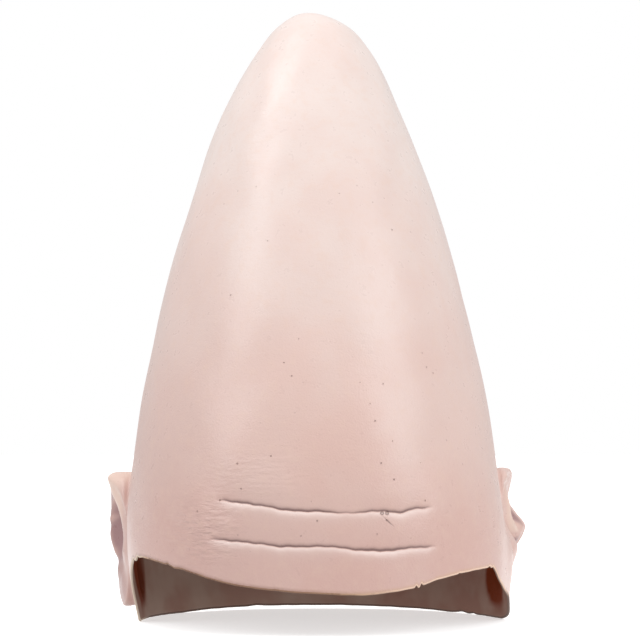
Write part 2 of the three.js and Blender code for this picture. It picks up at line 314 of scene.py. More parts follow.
@dataclass
class TrimmedEdge:
    """The trimmed lower edge: it droops over the brow, peaks at each temple and falls to the flaps."""

    steps: tuple[EdgeStep, ...] = (
        EdgeStep(-180, 1.6),
        EdgeStep(-150, 1.2),
        EdgeStep(-122, 0.0),
        EdgeStep(-91.5, 0.0),
        EdgeStep(-88, 8.0),
        EdgeStep(-85, 15.0),
        EdgeStep(-81, 22.5),
        EdgeStep(-76, 28.5),
        EdgeStep(-70, 33.0),
        EdgeStep(-63, 34.5),
        EdgeStep(-44, 31.0),
        EdgeStep(-24, 24.1),
        EdgeStep(-7, 21.0),
        EdgeStep(10, 19.7),
        EdgeStep(26, 22.3),
        EdgeStep(36, 26.2),
        EdgeStep(48, 28.9),
        EdgeStep(62, 30.1),
        EdgeStep(68, 23.4),
        EdgeStep(76, 17.4),
        EdgeStep(84, 13.0),
        EdgeStep(88, 9.6),
        EdgeStep(92, 6.2),
        EdgeStep(96, 3.0),
        EdgeStep(100, 0.9),
        EdgeStep(104, 0.0),
        EdgeStep(128, 0.0),
        EdgeStep(152, 1.0),
        EdgeStep(180, 1.6),
    )
    nicks: tuple[Nick, ...] = (
        Nick(27.4, 1.0, 0.40),
        Nick(28.3, -0.5, 0.35),
        Nick(29.2, 1.2, 0.40),
        Nick(44.0, 0.35, 0.50),
        Nick(60.0, 0.6, 0.60),
        Nick(61.6, -0.5, 0.50),
        Nick(121.5, 0.5, 1.60),
        Nick(128.0, 0.8, 2.20),
        Nick(-11.0, 0.25, 1.10),
        Nick(-44.4, -0.6, 1.60),
        Nick(-47.6, 0.6, 0.90),
        Nick(-66.4, 0.9, 0.90),
        Nick(-68.6, -1.0, 0.80),
        Nick(-71.0, 0.8, 0.90),
        Nick(-83.2, 1.1, 0.80),
        Nick(-160.0, 0.5, 3.00),
    )
    tremble: float = 0.12  # the hand-held blade's own unevenness
    trembles: tuple[tuple[int, float], ...] = ((23, 0.4), (41, 1.9), (67, 5.0))  # times round, and phase
    crowd: float = 0.9  # extra columns at the middle of a nick whose half width is 1
    crowd_reach: float = 2.2  # in half widths of the nick

    def rise(self, bearing: Array) -> Array:
        """Rise of the edge: a calm line through the table, with the nicks and a small tremble of the blade.

        Args:
            bearing: bearings in degrees.

        Returns:
            One rise for each bearing, never below the surface that the cap stands on.
        """
        table = columns_of(self.steps)
        rise = SmoothLine.calm(table["bearing"], table["rise"])(bearing)
        for nick in self.nicks:
            rise = rise + nick.cut * bell((bearing - nick.bearing) / nick.half_width)
        angle = np.radians(bearing)
        tremble = sum(np.sin(times * angle + phase) for times, phase in self.trembles)
        return np.maximum(rise + self.tremble * tremble / len(self.trembles), 0.0)

    def crowding(self, bearing: Array) -> Array:
        """How close together the columns of the mesh lie: closer round each nick, by a bell.

        Args:
            bearing: bearings in degrees.

        Returns:
            Columns to a degree, where 1 is a plain stretch.
        """
        crowd = np.ones_like(bearing)
        for nick in self.nicks:
            away = (bearing - nick.bearing) / (self.crowd_reach * nick.half_width)
            crowd += (self.crowd / nick.half_width) * bell(away)
        return crowd


class CreaseStep(NamedTuple):
    """A point of a forehead crease, with its depth there."""

    bearing: float
    rise: float
    depth: float


@dataclass
class Crease:
    """One forehead crease: the skin sinks into a sharp line, and its lower lip turns up to the light."""

    steps: tuple[CreaseStep, ...]
    reach_above: float = 2.4  # half width of the groove over its line
    reach_below: float = 1.0
    groove_power: float = 1.25  # 1 is a sharp line and 2 a round one
    lip: float = 0.11  # how far the lower lip swells
    lip_below: float = 3.2
    lip_half_width: float = 3.0
    sag: float = 0.26  # how far the skin over the crease sinks
    sag_above: float = 3.6
    sag_half_width: float = 3.2
    fade: float = 4.0  # bearing over which the crease runs out at its ends
    run_out: float = 1.0  # bearing by which it passes them
    tremble: float = 0.22  # small wander of its line
    wander_paces: tuple[float, float] = (0.93, 1.71)  # radians to a degree of bearing
    wander_phase: float = 1.2
    grime_power: float = 3.6  # the painted shade is narrower than the groove
    soot: float = 0.20  # fainter painted shade over the line
    soot_reach: float = 2.4
    soot_start: Span = (-0.2, 0.3)
    worn: float = 1.5  # painted highlight on the lip below the line
    worn_reach: float = 1.6
    worn_start: Span = (-0.8, -0.3)

    def __post_init__(self) -> None:
        """Makes the lines of the crease's rise and depth."""
        table = columns_of(self.steps)
        self.line = SmoothLine.calm(table["bearing"], table["rise"])
        self.depth_line = SmoothLine.calm(table["bearing"], table["depth"])

    def line_rise(self, bearing: Array) -> Array:
        """Rise of the crease's line, with its small wander, level past its two ends.

        Args:
            bearing: bearings in degrees.

        Returns:
            One rise for each bearing.
        """
        bearing = np.clip(bearing, self.steps[0].bearing, self.steps[-1].bearing)
        first, second = self.wander_paces
        wander = np.sin(first * bearing + self.steps[0].rise) + np.sin(second * bearing + self.wander_phase)
        return self.line(bearing) + self.tremble * wander / len(self.wander_paces)

    def depth(self, bearing: Array) -> Array:
        """Depth of the groove: the table's, running out at both ends.

        Args:
            bearing: bearings in degrees.

        Returns:
            One depth for each bearing.
        """
        start, end = self.steps[0].bearing, self.steps[-1].bearing
        begun = smooth(bearing, start - self.run_out, start + self.fade)
        ended = smooth(bearing, end - self.fade, end + self.run_out)
        return begun * (1 - ended) * self.depth_line(np.clip(bearing, start, end))

    def groove(self, bearing: Array, rise: Array) -> Array:
        """Share of the groove's depth: e to minus a power of the distance to the line, over its reach.

        Args:
            bearing: bearings in degrees.
            rise: rises, of the same shape.

        Returns:
            Shares, 1 on the line.
        """
        away = rise - self.line_rise(bearing)
        reach = np.where(away > 0, self.reach_above, self.reach_below)
        return np.exp(-np.abs(away / reach) ** self.groove_power)

    def shade(self, bearing: Array, rise: Array) -> Array:
        """How much painted shade there is: in the groove and over it, less a painted highlight on the lip.

        Args:
            bearing: bearings in degrees.
            rise: rises, of the same shape.

        Returns:
            Above 0 where it is darker, below 0 where it is lighter.
        """
        away = rise - self.line_rise(bearing)
        grime = self.groove(bearing, rise) ** self.grime_power
        over = np.exp(-np.maximum(away, 0.0) / self.soot_reach)
        grime = grime + self.soot * over * smooth(away, *self.soot_start)
        below = np.exp(np.minimum(away, 0.0) / self.worn_reach)
        worn = self.worn * below * (1 - smooth(away, *self.worn_start))
        return (grime - worn) * self.depth(bearing)

    def height(self, bearing: Array, rise: Array) -> Array:
        """Height off the wall: the depth times the lip's bell, less the sag's bell and the groove.

        Args:
            bearing: bearings in degrees.
            rise: rises, of the same shape.

        Returns:
            Heights, below 0 in the groove.
        """
        depth = self.depth(bearing)
        away = rise - self.line_rise(bearing)
        lip = self.lip * bell((away + self.lip_below) / self.lip_half_width)
        sag = self.sag * bell((away - self.sag_above) / self.sag_half_width)
        return depth * (lip - sag - self.groove(bearing, rise))


# The ears

class Side(IntEnum):
    """The two sides of the cap, as signs of X."""

    LEFT = -1
    RIGHT = 1


class RimRidge(NamedTuple):
    """A ridge along an ear's outline, at a share of the way out to it, between two angles in degrees."""

    height: float
    share: float
    width: float
    start_angle: float
    end_angle: float


class Lift(NamedTuple):
    """How far an ear's rear edge stands off the wall at a level."""

    level: float
    height: float


class Fold(NamedTuple):
    """A ridge, or a furrow of negative height, along a bent path from its start to its end (back, up).

    Its height grows along the path with this power of the way.
    """

    height: float
    half_width: float
    start: tuple[float, float]
    bend: tuple[float, float]
    end: tuple[float, float]
    growth: float = 0.0


class Bump(NamedTuple):
    """A single swelling, or a hollow of negative height, from the ear's middle towards the rear and up."""

    height: float
    back: float
    up: float
    half_width: float
    half_height: float

    def across_and_up(self, place: Array) -> tuple[Array, Array]:
        """How far places lie from its middle, in half widths and half heights."""
        return (place[..., 0] - self.back) / self.half_width, (place[..., 1] - self.up) / self.half_height


@dataclass
class Ear:
    """A moulded ear, worked out in its own flat frame on the wall: X towards the rear of the cap and Y up.

    The lifts are those of the ear's rear edge off the wall, at levels from 0 at the lobe to 1 at the top.
    """

    wall: Wall
    side: Side
    rise: float
    half_height: float
    lifts: tuple[Lift, ...]
    concha: Bump  # the bowl takes away this share of the lift
    folds: tuple[Fold, ...]
    bumps: tuple[Bump, ...]
    dusk: tuple[Bump, ...]  # where its mauve painted shade lies
    stain: Bump  # where the inside is a darker rust-red
    bearing: float = 97.5
    reach_back: float = 18.0
    reach_front: float = 15.0
    top_flare: float = 0.16  # how much wider the top is than the middle
    tilt: float = 8.0  # degrees, with the top to the rear
    pad: float = 1.2  # height of the ear's flat base
    least_height: float = 0.2
    overhang: float = 2.2
    lean_share: float = 0.7  # the rim begins to lean out at this share
    lean_heights: Span = (0.5, 4.0)  # the rim begins to overhang, and does so fully
    rim_share: float = 0.95
    foot_share: float = 1.1
    fold_start: Span = (-0.05, 0.25)  # shares of a fold's path over which it rises
    fold_end: Span = (0.75, 1.05)  # and runs out
    shade_strength: float = 0.3  # painted shade of a furrow and painted highlight of a ridge, to each millimetre of its height
    shade_rim: Span = (0.90, 1.0)  # shares over which the painted shade ends
    stain_edge: Span = (0.75, 1.1)
    rim_ridges: tuple[RimRidge, ...] = (
        RimRidge(2.2, 0.91, 0.075, -45, 165),  # helix
        RimRidge(-1.0, 0.76, 0.07, -35, 120),  # furrow inside the helix
        RimRidge(1.6, 0.8, 0.2, -135, -50),  # lobe
    )
    ridge_fade: float = 28.0
    pocket: Bump = Bump(4.5, 9, -4, 9, 29)  # hollow inside, left by the casting
    pocket_share: float = 0.8  # of the ear's height, which the hollow is never deeper than

    def __post_init__(self) -> None:
        """Works out the millimetres in a degree of bearing and the line of the lifts."""
        rises = np.full(2, self.rise)
        before, after = self.wall.point(np.array([self.bearing - 1, self.bearing + 1]), rises)
        self.mm_per_degree = float(np.linalg.norm(after - before)) / 2
        table = columns_of(self.lifts)
        self.lift_line = SmoothLine.calm(table["level"], table["height"])

    def _turned(self, place: Array, degrees: float) -> Array:
        """Places turned about the ear's middle.

        Args:
            place: places in the ear's flat frame.
            degrees: how far they are turned.

        Returns:
            The turned places.
        """
        angle = math.radians(degrees)
        x, y = place[..., 0], place[..., 1]
        turned = (x * math.cos(angle) - y * math.sin(angle), x * math.sin(angle) + y * math.cos(angle))
        return np.stack(turned, axis=-1)

    def from_wall(self, bearing: Array, rise: Array) -> Array:
        """Places in the ear's flat frame of bearings and rises on the wall."""
        back = (self.side * bearing - self.bearing) * self.mm_per_degree
        return self._turned(np.stack([back, rise - self.rise], axis=-1), self.tilt)

    def to_wall(self, place: Array) -> tuple[Array, Array]:
        """Bearings and rises of places in the ear's flat frame."""
        upright = self._turned(place, -self.tilt)
        return self.side * (self.bearing + upright[..., 0] / self.mm_per_degree), self.rise + upright[..., 1]

    def _reach(self, angle: Array, to_rear: Array) -> Array:
        """Reach of the outline to the rear or the front, wider at the top than at the lobe."""
        return np.where(to_rear, self.reach_back, self.reach_front) * (1 + self.top_flare * np.sin(angle))

    def outline(self, angle: Array) -> Array:
        """Outline of the ear: reach times cosine towards the rear, half height times sine upwards."""
        across = self._reach(angle, np.cos(angle) > 0) * np.cos(angle)
        return np.stack([across, self.half_height * np.sin(angle)], axis=-1)

    def angle_towards(self, place: Array, passes: int = 4) -> Array:
        """Angles of the outline points that places lie towards.

        Args:
            place: places in the ear's flat frame.
            passes: how often it is worked out, because the reach depends on the angle.

        Returns:
            One angle for each place.
        """
        x, y = place[..., 0], place[..., 1]
        angle = np.arctan2(y, x)
        for _ in range(passes):
            angle = np.arctan2(y / self.half_height, x / self._reach(angle, x > 0))
        return angle

    def _rim(self, ridge: RimRidge, angle: Array, share: Array) -> Array:
        """Height of a rim ridge: a bell across it, running out at its two ends.

        Args:
            ridge: the ridge.
            angle: angles round the ear.
            share: shares of the way from its middle to its outline.

        Returns:
            Heights.
        """
        half = (ridge.end_angle - ridge.start_angle) / 2
        offset = np.degrees(angle) - ridge.start_angle - half
        away = np.abs((offset + 180) % 360 - 180)
        runs = 1 - smooth(away, half - self.ridge_fade, half)
        return ridge.height * bell((share - ridge.share) / ridge.width) * runs

    def _fold(self, fold: Fold, place: Array, samples: int = 90) -> Array:
        """Height of a fold: the highest of the bells round points of its path, a parabola drawn to its bend.

        Args:
            fold: the fold.
            place: places in the ear's flat frame.
            samples: how many points of the path are tried.

        Returns:
            Heights.
        """
        t = np.linspace(0, 1, samples)[:, None]
        start, bend, end = (np.array(point, float) for point in (fold.start, fold.bend, fold.end))
        path = start * (1 - t) ** 2 + bend * 2 * t * (1 - t) + end * t * t
        away = np.linalg.norm(place[..., None, :] - path, axis=-1) / fold.half_width
        way = t[:, 0]
        runs = smooth(way, *self.fold_start) * (1 - smooth(way, *self.fold_end)) * way**fold.growth
        return fold.height * (runs * bell(away)).max(axis=-1)

    def _bump(self, bump: Bump, place: Array) -> Array:
        """Height of a bump: a bell of the distance from its middle."""
        return bump.height * bell(*bump.across_and_up(place))

    def bowl(self, place: Array) -> Array:
        """Share of the lift that the concha takes away: flat in its middle, with steep sides."""
        x, y = self.concha.across_and_up(place)
        return self.concha.height * bell(x * x + y * y)

    def height(self, angle: Array, share: Array) -> Array:
        """Height off the wall: a pad and a leaf that lifts to the rear, with its bowl, ridges and bumps.

        Args:
            angle: angles round the ear, from its rear edge and up over its top.
            share: shares of the way from its middle to its outline.

        Returns:
            Heights, which run down to nothing at the ear's foot.
        """
        place = self.outline(angle) * share[..., None]
        level = np.clip(0.5 + place[..., 1] / (2 * self.half_height), 0, 1)
        leaf = self.lift_line(level) * smooth(place[..., 0], -self.reach_front, self.reach_back / 2)
        pad = self.pad * smooth(place[..., 0], -self.reach_front, -self.reach_front / 3)
        height = pad + leaf * (1 - self.bowl(place))
        height += sum(self._rim(ridge, angle, share) for ridge in self.rim_ridges)
        height += sum(self._fold(fold, place) for fold in self.folds)
        height += sum(self._bump(bump, place) for bump in self.bumps)
        return np.maximum(height, self.least_height) * (1 - smooth(share, self.rim_share, self.foot_share))

    def points(self, angle: Array, share: Array) -> Array:
        """Points of the ear, whose rim leans out past its own foot.

        Args:
            angle: angles round the ear, from its rear edge and up over its top.
            share: shares of the way from its middle to its outline.

        Returns:
            The points, off the wall.
        """
        height = self.height(angle, share)
        lean = smooth(share, self.lean_share, self.rim_share) * smooth(height, *self.lean_heights)
        lean = lean * (1 - smooth(share, self.rim_share, self.foot_share))
        outline = self.outline(angle)
        place = outline * share[..., None] + unit(outline) * (self.overhang * lean)[..., None]
        return self.wall.off(*self.to_wall(place), height)

    def shade(self, angle: Array, share: Array) -> Array:
        """How much painted shade there is: the bells of its spots and the furrows, up to the rim, less a
        painted highlight on the ridges.

        Args:
            angle: angles round the ear, from its rear edge and up over its top.
            share: shares of the way from its middle to its outline.

        Returns:
            From 1, painted shade in the hollows, to -1, a painted highlight on the ridges.
        """
        place = self.outline(angle) * share[..., None]
        heights = [self._fold(fold, place) for fold in self.folds]
        ridges = sum(np.maximum(height, 0) for height in heights)
        hollows = sum(self._bump(bump, place) for bump in self.dusk)
        hollows += self.shade_strength * sum(np.maximum(-height, 0) for height in heights)
        hollows = hollows * (1 - smooth(share, *self.shade_rim))
        return np.clip(hollows - self.shade_strength * ridges, -1, 1)

    def rust(self, bearing: Array, rise: Array) -> Array:
        """Share of the darker rust-red on the inside of the ear: an oval with a soft edge."""
        x, y = self.stain.across_and_up(self.from_wall(bearing, rise))
        return self.stain.height * (1 - smooth(np.hypot(x, y), *self.stain_edge))

    def pocket_depth(self, bearing: Array, rise: Array) -> Array:
        """Depth of the hollow inside the ear: an oval bowl, one minus both squares, held to the ear's height.

        Args:
            bearing: bearings in degrees.
            rise: rises, of the same shape.

        Returns:
            Depths, 0 outside the hollow.
        """
        place = self.from_wall(bearing, rise)
        across, along = self.pocket.across_and_up(place)
        bowl = self.pocket.height * np.maximum(0, 1 - across**2 - along**2)
        angle = self.angle_towards(place)
        share = np.linalg.norm(place, axis=-1) / np.linalg.norm(self.outline(angle), axis=-1)
        return np.minimum(bowl, self.pocket_share * self.height(angle, share))


# The mesh

class Face(IntEnum):
    """Which finish a face of the skin has, as its material's number."""

    PAINTED = 0
    RAW = 1
    CUT = 2


class Mark(Enum):
    """Values that the skin keeps for its finishes, one for each point."""

    SHADE = "shade"  # painted shade in the creases, painted highlight on their lips below 0, and how far in a place of the cut edge lies
    FOLD = "fold"  # painted shade in the ears' hollows above 0, painted highlight on their ridges below
    RUST = "rust"  # a darker rust-red in the hollows inside the ears
    RIM = "rim"  # 1 at the cut edge, 0 where the paint is whole


@dataclass
class SkinMesh:
    """Points and faces of the skin, gathered as arrays and made into one object."""

    points: list[Array] = field(default_factory=list)
    marks: dict[Mark, list[Array]] = field(default_factory=lambda: {mark: [] for mark in Mark})
    faces: list[list[int]] = field(default_factory=list)
    finishes: list[Array] = field(default_factory=list)
    count: int = 0

    def add_points(self, points: Array, marks: Mapping[Mark, Array]) -> Array:
        """Adds points.

        Args:
            points: a grid of points, in millimetres.
            marks: values of the marks that aren't 0 there.

        Returns:
            The points' numbers, in the grid's shape.
        """
        shape = points.shape[:-1]
        numbers = np.arange(math.prod(shape)).reshape(shape) + self.count
        self.count += numbers.size
        self.points.append(points.reshape(-1, 3))
        for mark, values in self.marks.items():
            values.append(np.broadcast_to(marks.get(mark, 0.0), shape).ravel())
        return numbers

    def add_quads(self, rows: Array, finish: Array, kept: Optional[Array] = None) -> None:
        """Joins each row of a grid to the next, and its last column to its first.

        Args:
            rows: numbers of the grid's points.
            finish: the finish of each row of faces.
            kept: False for each face that is left out.
        """
        low, high = rows[:-1], rows[1:]
        quads = np.stack([low, np.roll(low, -1, 1), np.roll(high, -1, 1), high], axis=-1)
        kept = np.ones(low.shape, bool) if kept is None else kept
        self.faces += quads[kept].tolist()
        self.finishes.append(np.broadcast_to(finish[:, None], low.shape)[kept])

    def add_fan(self, ring: Array, tip: int, finish: Face) -> None:
        """Joins each two neighbours of a ring to one tip."""
        self.faces += np.stack([ring, np.roll(ring, -1), np.full_like(ring, tip)], axis=-1).tolist()
        self.finishes.append(np.full(ring.size, int(finish)))

    def to_object(self, name: str) -> bpy.types.Object:
        """Makes the object.

        Args:
            name: the object's name.

        Returns:
            The object, in metres, at the origin, with its marks as attributes.
        """
        mesh = bpy.data.meshes.new(name)
        mesh.from_pydata(np.concatenate(self.points) / METRE, [], self.faces)
        mesh.polygons.foreach_set("material_index", np.concatenate(self.finishes).astype(np.int32))
        for mark, values in self.marks.items():
            attribute = mesh.attributes.new(mark.value, "FLOAT", "POINT")
            attribute.data.foreach_set("value", np.concatenate(values).astype(np.float32))
        mesh.shade_smooth()
        mesh.update()
        piece = bpy.data.objects.new(name, mesh)
        bpy.context.scene.collection.objects.link(piece)
        return piece


class ColumnBand(NamedTuple):
    """Columns of the mesh between two bearings."""

    start: float
    end: float
    steps: int


class RowBand(NamedTuple):
    """Rows of the mesh up to a named line."""

    up_to: str
    steps: int


class RimStep(NamedTuple):
    """A point across the cut edge: how far up from its lowest line, and its share of the way in."""

    up: float
    inward: float


@dataclass
class LatexCap:
    """The whole cap: one closed skin with two sides, a cut edge between them and two ears outside."""

    wall: Wall
    edge: TrimmedEdge
    low_crease: Crease
    high_crease: Crease
    ears: tuple[Ear, Ear]
    thickness: float = 2.0
    edge_thickness: float = 1.2  # the latex runs out thinner to its edge
    edge_taper: float = 9.0  # over this distance
    rim_top: float = 0.9  # the painted skin begins here above the edge
    edge_band: float = 2.5  # width of the strip along the edge, below the ears
    plain_rise: float = 84.0  # the wall is plain above this
    crease_band: float = 1.2  # half width of the rows that crowd along a crease
    crease_foot: float = 6.0
    crease_head: float = 5.0
    crease_bearings: tuple[float, float] = (38.0, 70.0)  # the crowded rows spread out between these
    tip_gather: float = 1.5  # the rows' distances fall with this power towards the tip
    column_samples: int = 60  # tried for each column when the columns are crowded
    ear_window: tuple[float, float] = (82.0, 114.0)
    half_columns: tuple[ColumnBand, ...] = (
        ColumnBand(0, 48, 70),
        ColumnBand(48, 82, 46),
        ColumnBand(82, 114, 38),
        ColumnBand(114, 180, 40),
    )
    outer_rows: tuple[RowBand, ...] = (
        RowBand("edge_band", 3),
        RowBand("low_foot", 12),
        RowBand("low_below", 6),
        RowBand("low_above", 12),
        RowBand("low_head", 6),
        RowBand("high_foot", 4),
        RowBand("high_below", 6),
        RowBand("high_above", 12),
        RowBand("high_head", 6),
        RowBand("plain", 10),
        RowBand("tip", 62),
    )
    inner_rows: tuple[RowBand, ...] = (RowBand("plain", 20), RowBand("tip", 14))
    rim: tuple[RimStep, ...] = (
        RimStep(0.30, 0.95),
        RimStep(0.04, 0.75),
        RimStep(0.00, 0.48),
        RimStep(0.10, 0.22),
        RimStep(0.40, 0.06),
    )
    ear_apron_rings: int = 6  # between an ear's window and its foot
    ear_rings: tuple[ColumnBand, ...] = (
        ColumnBand(1.1, 0.97, 8),
        ColumnBand(0.97, 0.8, 10),
        ColumnBand(0.8, 0.45, 13),
        ColumnBand(0.45, 0.03, 9),
    )

    def bearings(self) -> Array:
        """Bearings of the columns, closer together at the nicks of the edge.

        Returns:
            Rising bearings in degrees.
        """
        columns = []
        bands = [ColumnBand(-b.end, -b.start, b.steps) for b in reversed(self.half_columns)]
        for band in bands + list(self.half_columns):
            fine = np.linspace(band.start, band.end, self.column_samples * band.steps)
            crowd = np.cumsum(self.edge.crowding(fine))
            even = np.linspace(crowd[0], crowd[-1], band.steps + 1)[:-1]
            columns.append(np.interp(even, crowd, fine))
        return np.concatenate(columns)

    def _lines(self, bearing: Array) -> dict[str, Array]:
        """Rises of the named lines that the rows follow.

        Args:
            bearing: the columns' bearings.

        Returns:
            A rise for each column, by the line's name.
        """
        lines = {"edge_band": self.edge.rise(bearing) + self.edge_band}
        for name, crease in (("low", self.low_crease), ("high", self.high_crease)):
            rise = crease.line_rise(bearing)
            lines[f"{name}_foot"] = rise - self.crease_foot
            lines[f"{name}_below"] = rise - self.crease_band
            lines[f"{name}_above"] = rise + self.crease_band
            lines[f"{name}_head"] = rise + self.crease_head
        lines["plain"] = np.full_like(bearing, self.plain_rise)
        lines["tip"] = np.full_like(bearing, self.wall.tip_rise)
        return lines

    def _rows(self, bearing: Array, bands: Sequence[RowBand]) -> Array:
        """Rises of all rows: even steps from line to line, gathered towards the tip.

        Args:
            bearing: the columns' bearings.
            bands: the rows' bands, from the edge to the tip.

        Returns:
            Rises, a row for each row of the mesh, without the tip itself.
        """
        lines = self._lines(bearing)
        start = self.edge.rise(bearing) + self.rim_top
        rows = []
        for band in bands:
            share = np.linspace(0, 1, band.steps, endpoint=False)[:, None]
            if band.up_to == "tip":
                share = 1 - (1 - share) ** self.tip_gather
            rows.append(start + (lines[band.up_to] - start) * share)
            start = lines[band.up_to]
        return np.concatenate(rows)

    def _row_on(self, line: str) -> int:
        """Number of the outer row that lies on a named line."""
        names = [band.up_to for band in self.outer_rows]
        return sum(band.steps for band in self.outer_rows[: names.index(line) + 1])

    def outer_rises(self, bearing: Array) -> Array:
        """Rises of the outer rows: crowded along the creases at the brow, and evenly spread behind it.

        Args:
            bearing: the columns' bearings.

        Returns:
            Rises, a row for each outer row of the mesh.
        """
        crowded = self._rows(bearing, self.outer_rows)
        sill, head = self._row_on("edge_band"), self._row_on("plain")
        even = crowded.copy()
        share = np.linspace(0, 1, head - sill + 1)[:, None]
        even[sill : head + 1] = crowded[sill] + (crowded[head] - crowded[sill]) * share
        behind = smooth(np.abs(bearing), *self.crease_bearings)
        return crowded + (even - crowded) * behind

    def relief(self, bearing: Array, rise: Array) -> Array:
        """Height of the two creases off the wall."""
        return self.low_crease.height(bearing, rise) + self.high_crease.height(bearing, rise)

    def crease_shade(self, bearing: Array, rise: Array) -> Array:
        """How much painted shade a place has: above 0 in and over the creases' grooves, below 0 a painted
        highlight on their lower lips.
        """
        creases = (self.low_crease, self.high_crease)
        return sum(crease.shade(bearing, rise) for crease in creases)

    def inner_depth(self, bearing: Array, rise: Array) -> Array:
        """Depth of the inner side: the thickness, less towards the edge and in the ears' hollows.

        Args:
            bearing: bearings in degrees.
            rise: rises, of the same shape.

        Returns:
            Depths below the outer wall.
        """
        share = smooth(rise - self.edge.rise(bearing), self.rim_top, self.edge_taper)
        thickness = self.edge_thickness + (self.thickness - self.edge_thickness) * share
        return thickness - self.pockets(bearing, rise)

    def pockets(self, bearing: Array, rise: Array) -> Array:
        """Depth of the hollow inside the ear that lies on the same side."""
        left, right = (ear.pocket_depth(bearing, rise) for ear in self.ears)
        return np.where(bearing < 0, left, right)

    def rust(self, bearing: Array, rise: Array) -> Array:
        """Share of the darker rust-red inside the ear that lies on the same side."""
        left, right = (ear.rust(bearing, rise) for ear in self.ears)
        return np.where(bearing < 0, left, right)

    def build(self) -> bpy.types.Object:
        """Makes the skin: a sleeve from the inner tip, round the cut edge to the outer tip, and the ears.

        Returns:
            The finished mesh's object.
        """
        mesh = SkinMesh()
        columns = self.bearings()
        inner = self._rows(columns, self.inner_rows)[::-1]
        outer = self.outer_rises(columns)
        rim = {name: values[:, None] for name, values in columns_of(self.rim).items()}
        rises = np.concatenate([inner, self.edge.rise(columns) + rim["up"], outer])
        bearing = np.broadcast_to(columns, rises.shape)
        first_outer = len(inner) + len(self.rim)

        heights = np.zeros_like(rises)
        heights[: len(inner)] = -self.inner_depth(bearing, rises)[: len(inner)]
        heights[len(inner) : first_outer] = -rim["inward"] * self.edge_thickness
        heights[first_outer:] = self.relief(bearing, rises)[first_outer:]
        outside = np.arange(len(rises))[:, None] >= first_outer
        under = np.zeros((len(rises), 1))
        under[len(inner) : first_outer] = rim["inward"]
        marks = {
            Mark.SHADE: np.where(outside, self.crease_shade(bearing, rises), under),
            Mark.RUST: np.where(outside, 0.0, self.rust(bearing, rises)),
            Mark.RIM: 1 - smooth(rises - self.edge.rise(columns), self.rim_top, self.edge_band),
        }
        sleeve = mesh.add_points(self.wall.off(bearing, rises, heights), marks)

        finish = np.full(len(sleeve) - 1, int(Face.PAINTED))
        finish[:first_outer] = Face.CUT
        finish[: len(inner) - 1] = Face.RAW
        sill, head = first_outer + self._row_on("edge_band"), first_outer + self._row_on("plain")
        inside = (np.abs(columns) >= self.ear_window[0]) & (np.abs(columns) <= self.ear_window[1])
        kept = np.ones((len(sleeve) - 1, len(columns)), bool)
        kept[sill:head] = ~(inside & np.roll(inside, -1))
        mesh.add_quads(sleeve, finish, kept)

        for end, depth, face in ((0, self.thickness, Face.RAW), (-1, 0.0, Face.PAINTED)):
            tip = self.wall.point(np.zeros(1), np.full(1, self.wall.tip_rise)) - (0, 0, depth)
            ring = sleeve[end] if end else sleeve[end][::-1]
            mesh.add_fan(ring, int(mesh.add_points(tip, {})[0]), face)

        for ear in self.ears:
            window = np.flatnonzero(inside & (np.sign(columns) == ear.side))
            self._add_ear(mesh, ear, sleeve, bearing, rises, (sill, head), window)
        return mesh.to_object("latex_cap_skin")

    def _add_ear(
        self,
        mesh: SkinMesh,
        ear: Ear,
        sleeve: Array,
        bearing: Array,
        rises: Array,
        rows: tuple[int, int],
        window: Array,
    ) -> None:
        """Fills an ear's window with rings, from the window's frame to the ear's middle.

        Args:
            mesh: the mesh that the ear is added to.
            ear: the ear.
            sleeve: numbers of the sleeve's points.
            bearing: bearings of those points.
            rises: rises of those points.
            rows: first and last row of the window.
            window: the window's columns, with rising bearings.
        """
        upward = np.arange(rows[0], rows[1] + 1)
        frame_rows = [np.full(len(window) - 1, rows[0]), upward[:-1]]
        frame_rows += [np.full(len(window) - 1, rows[1]), upward[:0:-1]]
        frame_columns = [window[:-1], np.full(len(upward) - 1, window[-1])]
        frame_columns += [window[:0:-1], np.full(len(upward) - 1, window[0])]
        frame_at = (np.concatenate(frame_rows), np.concatenate(frame_columns))

        frame_place = ear.from_wall(bearing[frame_at], rises[frame_at])
        angle = ear.angle_towards(frame_place)
        foot = ear.outline(angle) * ear.foot_share
        share = np.linspace(0, 1, self.ear_apron_rings + 1)[1:-1, None, None]
        apron_bearing, apron_rise = ear.to_wall(frame_place + (foot - frame_place) * share)
        apron = self.wall.off(apron_bearing, apron_rise, np.zeros_like(apron_rise))

        bands = [np.linspace(b.start, b.end, b.steps, endpoint=False) for b in self.ear_rings]
        shares = np.concatenate(bands + [[self.ear_rings[-1].end]])[:, None]
        angles, shares = np.broadcast_arrays(angle, shares)
        fold = np.concatenate([np.zeros(apron.shape[:2]), ear.shade(angles, shares)])
        points = np.concatenate([apron, ear.points(angles, shares)])
        rings = np.concatenate([sleeve[frame_at][None], mesh.add_points(points, {Mark.FOLD: fold})])
        mesh.add_quads(rings, np.full(len(rings) - 1, int(Face.PAINTED)))
        middle = ear.points(np.zeros(1), np.zeros(1))
        centre = mesh.add_points(middle, {Mark.FOLD: ear.shade(np.zeros(1), np.zeros(1))})
        mesh.add_fan(rings[-1], int(centre[0]), Face.PAINTED)

    def dress(self, piece: bpy.types.Object, finishes: Mapping[Face, bpy.types.Material]) -> None:
        """Gives the skin its finishes and says what it stands for.

        Args:
            piece: the skin.
            finishes: a material for each kind of face.
        """
        for face in Face:
            piece.data.materials.append(finishes[face])
        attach(piece, BODY)
        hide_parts(NODE)


# Shader maths

